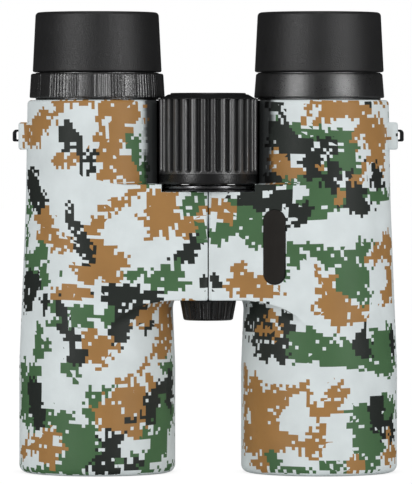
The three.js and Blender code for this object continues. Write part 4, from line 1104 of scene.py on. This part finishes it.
def diopter_ring(name, place, centre):
    """Nine smooth pads round the ring with fine ribs between them."""
    slot_low, slot_high, slot_floor = 126.3, 131.9, 20
    pad_pitch, pad_half, pad_start, rib_pitch = 40, 5.5, 31, 2.9  # degrees
    rib_depth = 0.2
    outline = [*ring_outline(place, 22.55, 22.05, steps=8), (SEAT_RADIUS, slot_high),
               (slot_floor, slot_high - 0.3), (slot_floor, slot_low + 0.3), (SEAT_RADIUS, slot_low)]

    def ribs(angles, z, radius):
        if radius < NECK_RADIUS + 0.7 or not RING_LOW + 0.3 < z < RING_HIGH - 0.35:
            return 0 * angles
        front = np.degrees(angles) + 90
        from_pad = np.abs((front - pad_start + pad_pitch / 2) % pad_pitch - pad_pitch / 2)
        wave = 0.5 - 0.5 * np.cos(2 * math.pi * (from_pad - pad_half) / rib_pitch)
        uneven = 0.7 + 0.3 * np.sin(front * 1.7)
        return -rib_depth * (from_pad > pad_half) * wave ** 0.6 * uneven

    return turned(name, outline, centre, sides=1080, relief=ribs)


def eyepiece_ring(name, place, centre):
    return turned(name, ring_outline(place, 21.7, 21.05), centre, sides=128)


def eyepiece_tube(name, place, centre):
    low, high = place.bottom, place.top
    shoulder = RING_HIGH + 0.2
    bore, stop_low, stop_high = 12.9, 136.8, 138.7  # the stop is a narrower ring that the lenses rest on
    outline = rounded([(bore, low, 0), (18.3, low, 0.3), (18.3, shoulder, 0.3), (14.6, shoulder, 0.2),
                       (14.6, high, 0.3), (bore, high, 0.3), (bore, stop_high, 0), (11.4, stop_high, 0.3),
                       (11.4, stop_low, 0), (bore, stop_low, 0)])
    made = turned(name, outline, centre)
    if name.startswith("right"):
        slot = block(-20, -10, -1.1, 1.1, 126.8, 131.4)
        cut(made, moved(slot, centre[0], 0))
    return made


def eye_lens_ring(name, place, centre):
    outline = rounded([(10.8, place.bottom, 0), (12.6, place.bottom, 0), (12.6, place.top, 0.2),
                       (11.6, place.top, 0.3), (10.8, place.top - 0.9, 0.2)])
    return turned(name, outline, centre)


def objective_cell(name, place, centre):
    low, high = place.bottom, place.top
    bore, groove_depth, groove_pitch, seat = 21.6, 0.15, 1.2, high - 1.6
    groove = bore + groove_depth
    outline = [(bore, low), (22.1, low), (22.4, low + 0.3), (22.4, high), (20.2, high), (20.2, seat),
               (bore, seat)]
    for z in np.arange(seat - 0.8, low + 3, -groove_pitch):
        outline += [(bore, z), (groove, z - 0.3), (groove, z - 0.6), (bore, z - 0.9)]
    return turned(name, outline, centre)


def objective_ring(name, place, centre):
    low, high = place.bottom, place.top
    outline = rounded([(20.3, low + 0.5, 0.2), (20.8, low, 0.2), (21.3, low, 0.1), (21.3, high, 0),
                       (20.3, high, 0)])
    made = turned(name, outline, centre)
    slots = [block(19, 21, -0.7, 0.7, low - 1, low + 0.7) for _ in range(2)]
    slots[1].data.transform(Matrix.Rotation(math.pi, 4, "Z"))
    cut(made, *[moved(slot, *centre) for slot in slots])
    return made


LENSES = {
    "objective_front_lens": (21.3, 2.2, 2.2),
    "objective_rear_lens": (21.3, -2.2, -0.6),
    "focus_lens": (16.7, -1.2, -1.2),
    "field_lens": (12.6, 0.8, 1.6),
    "eye_lens": (12.6, 1.2, 0.2),
}


def lens(name, place, centre, kind):
    """A lens whose low and high faces bulge at the centre by the listed heights."""
    radius, low_bulge, high_bulge = LENSES[kind]
    radius = min(radius, place.radius)
    low_edge = place.bottom + max(low_bulge, 0)
    high_edge = place.top - max(high_bulge, 0)
    steps = np.linspace(0, 1, 12)
    outline = [(radius * t, low_edge - low_bulge * (1 - t * t)) for t in steps]
    outline += [(radius * t, high_edge + high_bulge * (1 - t * t)) for t in steps[::-1]]
    return turned(name, outline, centre)


def strap_loop(side_name):
    """A staple seen from the front: an upright bar on two arms that run into the boss."""
    inside = LOOP_REACH - LOOP_BAR
    low, high = LOOP.bottom, LOOP.top
    corners = [(LOOP_ROOT, low, 0), (LOOP_REACH, low, 0.6), (LOOP_REACH, high, 1.3), (LOOP_ROOT, high, 0),
               (LOOP_ROOT, high - LOOP_ARM, 0), (inside, high - LOOP_ARM, 0.5), (inside, low + LOOP_ARM, 0.3),
               (LOOP_ROOT, low + LOOP_ARM, 0)]
    name = side_name + "_strap_loop_staple"
    loop = plate(name, rounded(corners), -LOOP_HALF_WIDTH, LOOP_HALF_WIDTH, bevel=0.2)
    loop.data.transform(Matrix.Rotation(math.pi / 2, 4, "X"))
    moved(loop, BARREL_X, 0)
    return loop if side_name == "left" else mirror(loop)


# ---- pieces about the hinge axis ----


CENTRE = (0, HINGE_Y)


def wheel_grip():
    """Rubber sleeve with thirty grooves that end round at the bottom and run out at the top."""
    place = at["focus_wheel_grip"]
    low, high, radius = place.bottom - 0.3, place.top, GRIP_RADIUS
    pitch = 2 * math.pi / 30
    half_groove = 0.4 * pitch * radius
    groove_depth = 1.25
    end = place.bottom - 0.1 + half_groove
    heights = [low + 0.06]
    heights += list(np.linspace(end - half_groove, end, 8)) + list(np.linspace(end, high - 0.05, 8)[1:])
    outline = [(14.5, low), (radius - 0.05, low)] + [(radius, z) for z in heights]
    outline += [(radius - 0.05, high), (14.5, high)]

    def grooves(angles, z, r):
        if r < radius - 0.5:
            return 0 * angles
        across = ((angles / pitch) % 1 - 0.5) * pitch * radius
        away = np.hypot(across, max(end - z, 0)) / half_groove
        return -groove_depth * np.cos(math.pi / 2 * np.clip(away, 0, 1)) ** 2

    return turned("focus_wheel_grip_sleeve", outline, CENTRE, sides=720, relief=grooves)


def wheel_core():
    place = at["focus_wheel_core"]
    low, high = place.bottom + 0.06, place.top
    flange = at["focus_wheel_grip"].bottom - 0.35
    hollow_top, shaft_top = 116.1, 111.2
    outline = rounded([(6.8, low, 0), (9, low, 0), (9, hollow_top, 0), (12, hollow_top, 0), (12, low, 0),
                       (GRIP_RADIUS - 0.05, low, 0.45), (GRIP_RADIUS - 0.05, flange, 0.05), (14.2, flange, 0),
                       (14.2, high, 0), (2.8, high, 0), (2.8, shaft_top, 0), (6.8, shaft_top, 0)])
    return turned("focus_wheel_core_body", outline, CENTRE)


def wheel_disc():
    place = at["focus_wheel_disc"]
    low, high = place.bottom, place.top
    rim = at["focus_wheel_grip"].top + 0.02
    outline = rounded([(0, low, 0), (14.3, low, 0), (14.3, rim, 0), (16.4, rim, 0), (16.35, rim + 0.22, 0.1),
                       (15.3, RING_LOW - 0.05, 0.1), (13.3, high - 0.5, 0.4), (12.6, high - 0.45, 0.1),
                       (12.3, high, 0.15), (11.2, high, 0.15), (10.9, high - 0.35, 0.15),
                       (0, high - 0.35, 0)], closed=False)
    return turned("focus_wheel_disc_cap", outline, CENTRE, sides=128)


def focus_collar():
    place = at["focus_collar"]
    low, high = place.bottom, place.top
    outline = rounded([(6.8, low, 0), (15.1, low, 0.15), (15.1, low + 0.5, 0.15), (13.4, low + 0.5, 0),
                       (13.4, high, 0.1), (6.8, high, 0)])
    return turned("focus_collar_body", outline, CENTRE, sides=128)


def collar_ring():
    place = at["focus_collar_ring"]
    outline = rounded([(13.7, place.bottom, 0), (14.7, place.bottom, 0.3), (14.7, place.top, 0.3),
                       (13.7, place.top, 0)])
    return turned("focus_collar_bright_ring", outline, CENTRE, sides=128)


def tripod_cap():
    """Knurled cap with a rounded end; its stud screws into the socket."""
    place = at["tripod_cap"]
    low, rim, inside, stud = place.bottom, place.bottom + 6.6, 7.2, 2.9
    knurl_count, knurl_depth = 46, 0.5
    corners = [(0, low, 0), (8.15, low, 0.8), (9.35, rim, 0.3), (inside, rim, 0)]
    outline = rounded(corners, closed=False, steps=6)
    outline += [(inside, rim - 1.3), (stud, rim - 1.3), (stud, place.top), (0, place.top)]

    def knurls(angles, z, radius):
        if radius < 7.9 or not low + 0.5 < z < rim - 0.2:
            return 0 * angles
        wave = 0.5 - 0.5 * np.cos(angles * knurl_count)
        uneven = 0.65 + 0.35 * np.sin(angles * 17 + 1)
        return -knurl_depth * wave * uneven

    return turned("tripod_cap_knob", outline, CENTRE, sides=736, relief=knurls)


def plain_ring(name, node, inner):
    place = at[node]
    outline = rounded([(inner, place.bottom, 0.15), (place.radius, place.bottom, 0.2),
                       (place.radius, place.top, 0.2), (inner, place.top, 0.15)])
    return turned(name, outline, CENTRE)


def focus_carriage():
    place = at["focus_carriage"]
    low, high = place.bottom, place.top
    outline = rounded([(6.8, low, 0), (8.7, low, 0.2), (8.7, low + 1, 0.15), (7.3, low + 1, 0),
                       (7.3, high - 1, 0), (8.7, high - 1, 0.15), (8.7, high, 0.2), (6.8, high, 0)])
    return turned("focus_carriage_collar", outline, CENTRE)


# ---- materials for the record's slots ----

MATERIALS = {
    "black_rubber": grained("black_rubber", linear(27, 27, 28), 0.42, 0.32, 0.13, gloss=1.0),
    "satin_black": grained("satin_black", linear(20, 20, 21), 0.32, 0.45, 0.05, gloss=0.8),
    "shell_plastic": grained("shell_plastic", linear(20, 20, 21), 0.6, 0.35, 0.04, gloss=0.35),
    "black_metal": grained("black_metal", linear(46, 46, 48), 0.34, 0.25, 0.015, metal=0.6),
    "badge": grained("badge", linear(37, 34, 31), 0.42, 0.22, 0.012, gloss=0.35),
    "bright_metal": machined("bright_metal", linear(196, 198, 202), 0.2),
    "steel": machined("steel", linear(150, 152, 156), 0.3),
    "brass": machined("brass", linear(176, 148, 88), 0.32),
    "coated_glass": optical("coated_glass", (0.82, 0.95, 0.88), 430),
    "clear_glass": optical("clear_glass", (0.96, 0.98, 0.98), 0),
}


# Finishes that differ from the rest of their slot.
RING_BLACK = grained("ring_black", linear(19, 19, 20), 0.31, 0.3, 0.09, gloss=1.0, ior=1.9)
BLACK_CHROME = machined("black_chrome", linear(150, 150, 152), 0.3)


def stand_for(piece, node, material=None):
    """The piece is shown instead of a CAD node, on its body and with its finish."""
    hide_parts(node)
    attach(piece, body_of[node])
    piece.data.materials.clear()
    piece.data.materials.append(material or MATERIALS[slot_of[node]])


def barrel_pieces(side_name, print_material):
    centre = (BARREL_X if side_name == "left" else -BARREL_X, 0)
    shell = body_shell(side_name)
    shell.name = side_name + "_shell_casting"
    stand_for(shell, side_name + "_body_shell")
    skin = armour(side_name)
    skin.name = side_name + "_rubber_armour"
    stand_for(skin, side_name + "_armour", print_material)
    stand_for(strap_loop(side_name), side_name + "_strap_loop")
    makers = {
        "eyecup_rubber": ("eyecup_skin", eyecup_rubber),
        "eyecup_core": ("eyecup_carrier", eyecup_core),
        "eyecup_sleeve": ("eyecup_guide", eyecup_sleeve),
        "eyepiece_tube": ("eyepiece_barrel", eyepiece_tube),
        "eye_lens_ring": ("eye_lens_retainer", eye_lens_ring),
        "objective_cell": ("objective_mount", objective_cell),
        "objective_ring": ("objective_retainer", objective_ring),
    }
    if side_name == "left":
        makers["eyepiece_ring"] = ("eyepiece_collar", eyepiece_ring)
    else:
        makers["diopter_ring"] = ("diopter_grip_ring", diopter_ring)
    for node, (name, maker) in makers.items():
        place = at[f"{side_name}_{node}"]
        finish = RING_BLACK if node in ("eyepiece_ring", "diopter_ring") else None
        stand_for(maker(f"{side_name}_{name}", place, centre), f"{side_name}_{node}", finish)
    for kind in LENSES:
        node = f"{side_name}_{kind}"
        glass = lens(node.replace("_lens", "_glass"), at[node], centre, kind)
        stand_for(glass, node)


def centre_pieces():
    stand_for(wheel_grip(), "focus_wheel_grip", grip_rubber())
    stand_for(wheel_core(), "focus_wheel_core")
    stand_for(wheel_disc(), "focus_wheel_disc")
    stand_for(focus_collar(), "focus_collar")
    stand_for(collar_ring(), "focus_collar_ring", BLACK_CHROME)
    stand_for(tripod_cap(), "tripod_cap")
    stand_for(plain_ring("tripod_cap_seal", "tripod_cap_washer", 3.3), "tripod_cap_washer")
    stand_for(focus_carriage(), "focus_carriage")
    badge = moved(badge_plate("badge_plate", 0, FRONT - BADGE_DEPTH, FRONT, bevel=0.25), BARREL_X, 0)
    stand_for(badge, "left_badge_inlay")


def dress_cad_nodes():
    """The hidden mechanism keeps its CAD shape and gets its slot's material."""
    for node, piece in frame["nodes"].items():
        piece.data.materials.clear()
        piece.data.materials.append(MATERIALS.get(slot_of[node], MATERIALS["satin_black"]))


# ---- stage ----


def seen_by(nodes, camera_value, glossy_value, diffuse_value):
    """A strength that depends on what is looking: the lens, a reflection or diffuse light."""
    path = nodes.node("ShaderNodeLightPath").outputs
    lit = nodes.choose(path["Is Glossy Ray"], diffuse_value, glossy_value)
    return nodes.choose(path["Is Camera Ray"], lit, camera_value)


def paper_floor():
    """White paper sweep: the lens sees it as a white glow, with a painted contact shadow close under the rims.
    """
    half = 6000
    floor = new_object("floor", [(-half, -half, 0), (half, -half, 0), (half, half, 0), (-half, half, 0)],
                       [(0, 1, 2, 3)])
    s = Shader("floor_paper")
    tone = s.shade(s.noise(30), (0.86, 0.86, 0.86), (0.9, 0.9, 0.9))
    s.set(Base_Color=s.vector("SCALE", tone, scale=seen_by(s, 0.0, 0.12, 1.0)), Roughness=0.9)
    # Painted contact shadow: the glow that the lens sees dims where ambient occlusion finds the binocular close
    # by.
    near = s.node("ShaderNodeAmbientOcclusion", {"Distance": 14 * MM}).outputs["AO"]
    glow = s.spread(near, 0.85, 1.0)
    s.set(Emission_Color=(1, 1, 1, 1), Emission_Strength=seen_by(s, glow, 0.0, 0.0))
    floor.data.materials.append(s.material)


def backdrop():
    """An even sky: white to the lens, softer as a light and nearly dark in reflections."""
    world = bpy.data.worlds.new("studio")
    world.use_nodes = True
    sky = Nodes(world.node_tree)
    background = world.node_tree.nodes["Background"].inputs
    sky.put(background["Color"], (1, 1, 1, 1))
    sky.put(background["Strength"], seen_by(sky, 1.0, 0.04, 0.62))
    bpy.context.scene.world = world
    bpy.context.scene.view_settings.view_transform = "Standard"


def softbox(name, place, width, height, brightness):
    """A glowing rectangle facing the binocular."""
    data = bpy.data.lights.new(name, "AREA")
    data.shape = "RECTANGLE"
    data.size, data.size_y = width, height
    data.energy = brightness * math.pi * width * height
    box = bpy.data.objects.new(name, data)
    box.location = place
    box.rotation_mode = "QUATERNION"
    box.rotation_quaternion = (Vector(place) - Vector((0, 0, 0.08))).to_track_quat("Z", "Y")
    bpy.context.scene.collection.objects.link(box)


def studio():
    paper_floor()
    backdrop()
    softbox("softbox_left", (-1.1, -1.2, 0.2), 0.26, 1.3, 8)
    softbox("softbox_right", (1.15, -1.15, 0.2), 0.26, 1.3, 8)
    softbox("softbox_top", (0, -0.5, 1.5), 0.8, 0.5, 1.5)


CAMERA_SIDE = -0.73
CAMERA_DISTANCE = 1650
CAMERA_HEIGHT = 112


def camera():
    """A long lens square on to the front, a little above the middle of the object."""
    data = bpy.data.cameras.new("camera")
    data.lens = 368
    data.sensor_width = 36
    made = bpy.data.objects.new("camera", data)
    made.location = Vector((CAMERA_SIDE, -CAMERA_DISTANCE, CAMERA_HEIGHT)) * MM
    target = Vector((CAMERA_SIDE, 0, BODY_TOP * 0.6185)) * MM
    made.rotation_mode = "QUATERNION"
    made.rotation_quaternion = (made.location - target).to_track_quat("Z", "Y")
    bpy.context.scene.collection.objects.link(made)
    bpy.context.scene.camera = made


dress_cad_nodes()
barrel_pieces("left", camouflage("camouflage_left", LEFT_PRINT, 1))
barrel_pieces("right", camouflage("camouflage_right", RIGHT_PRINT, 2))
centre_pieces()
studio()
camera()
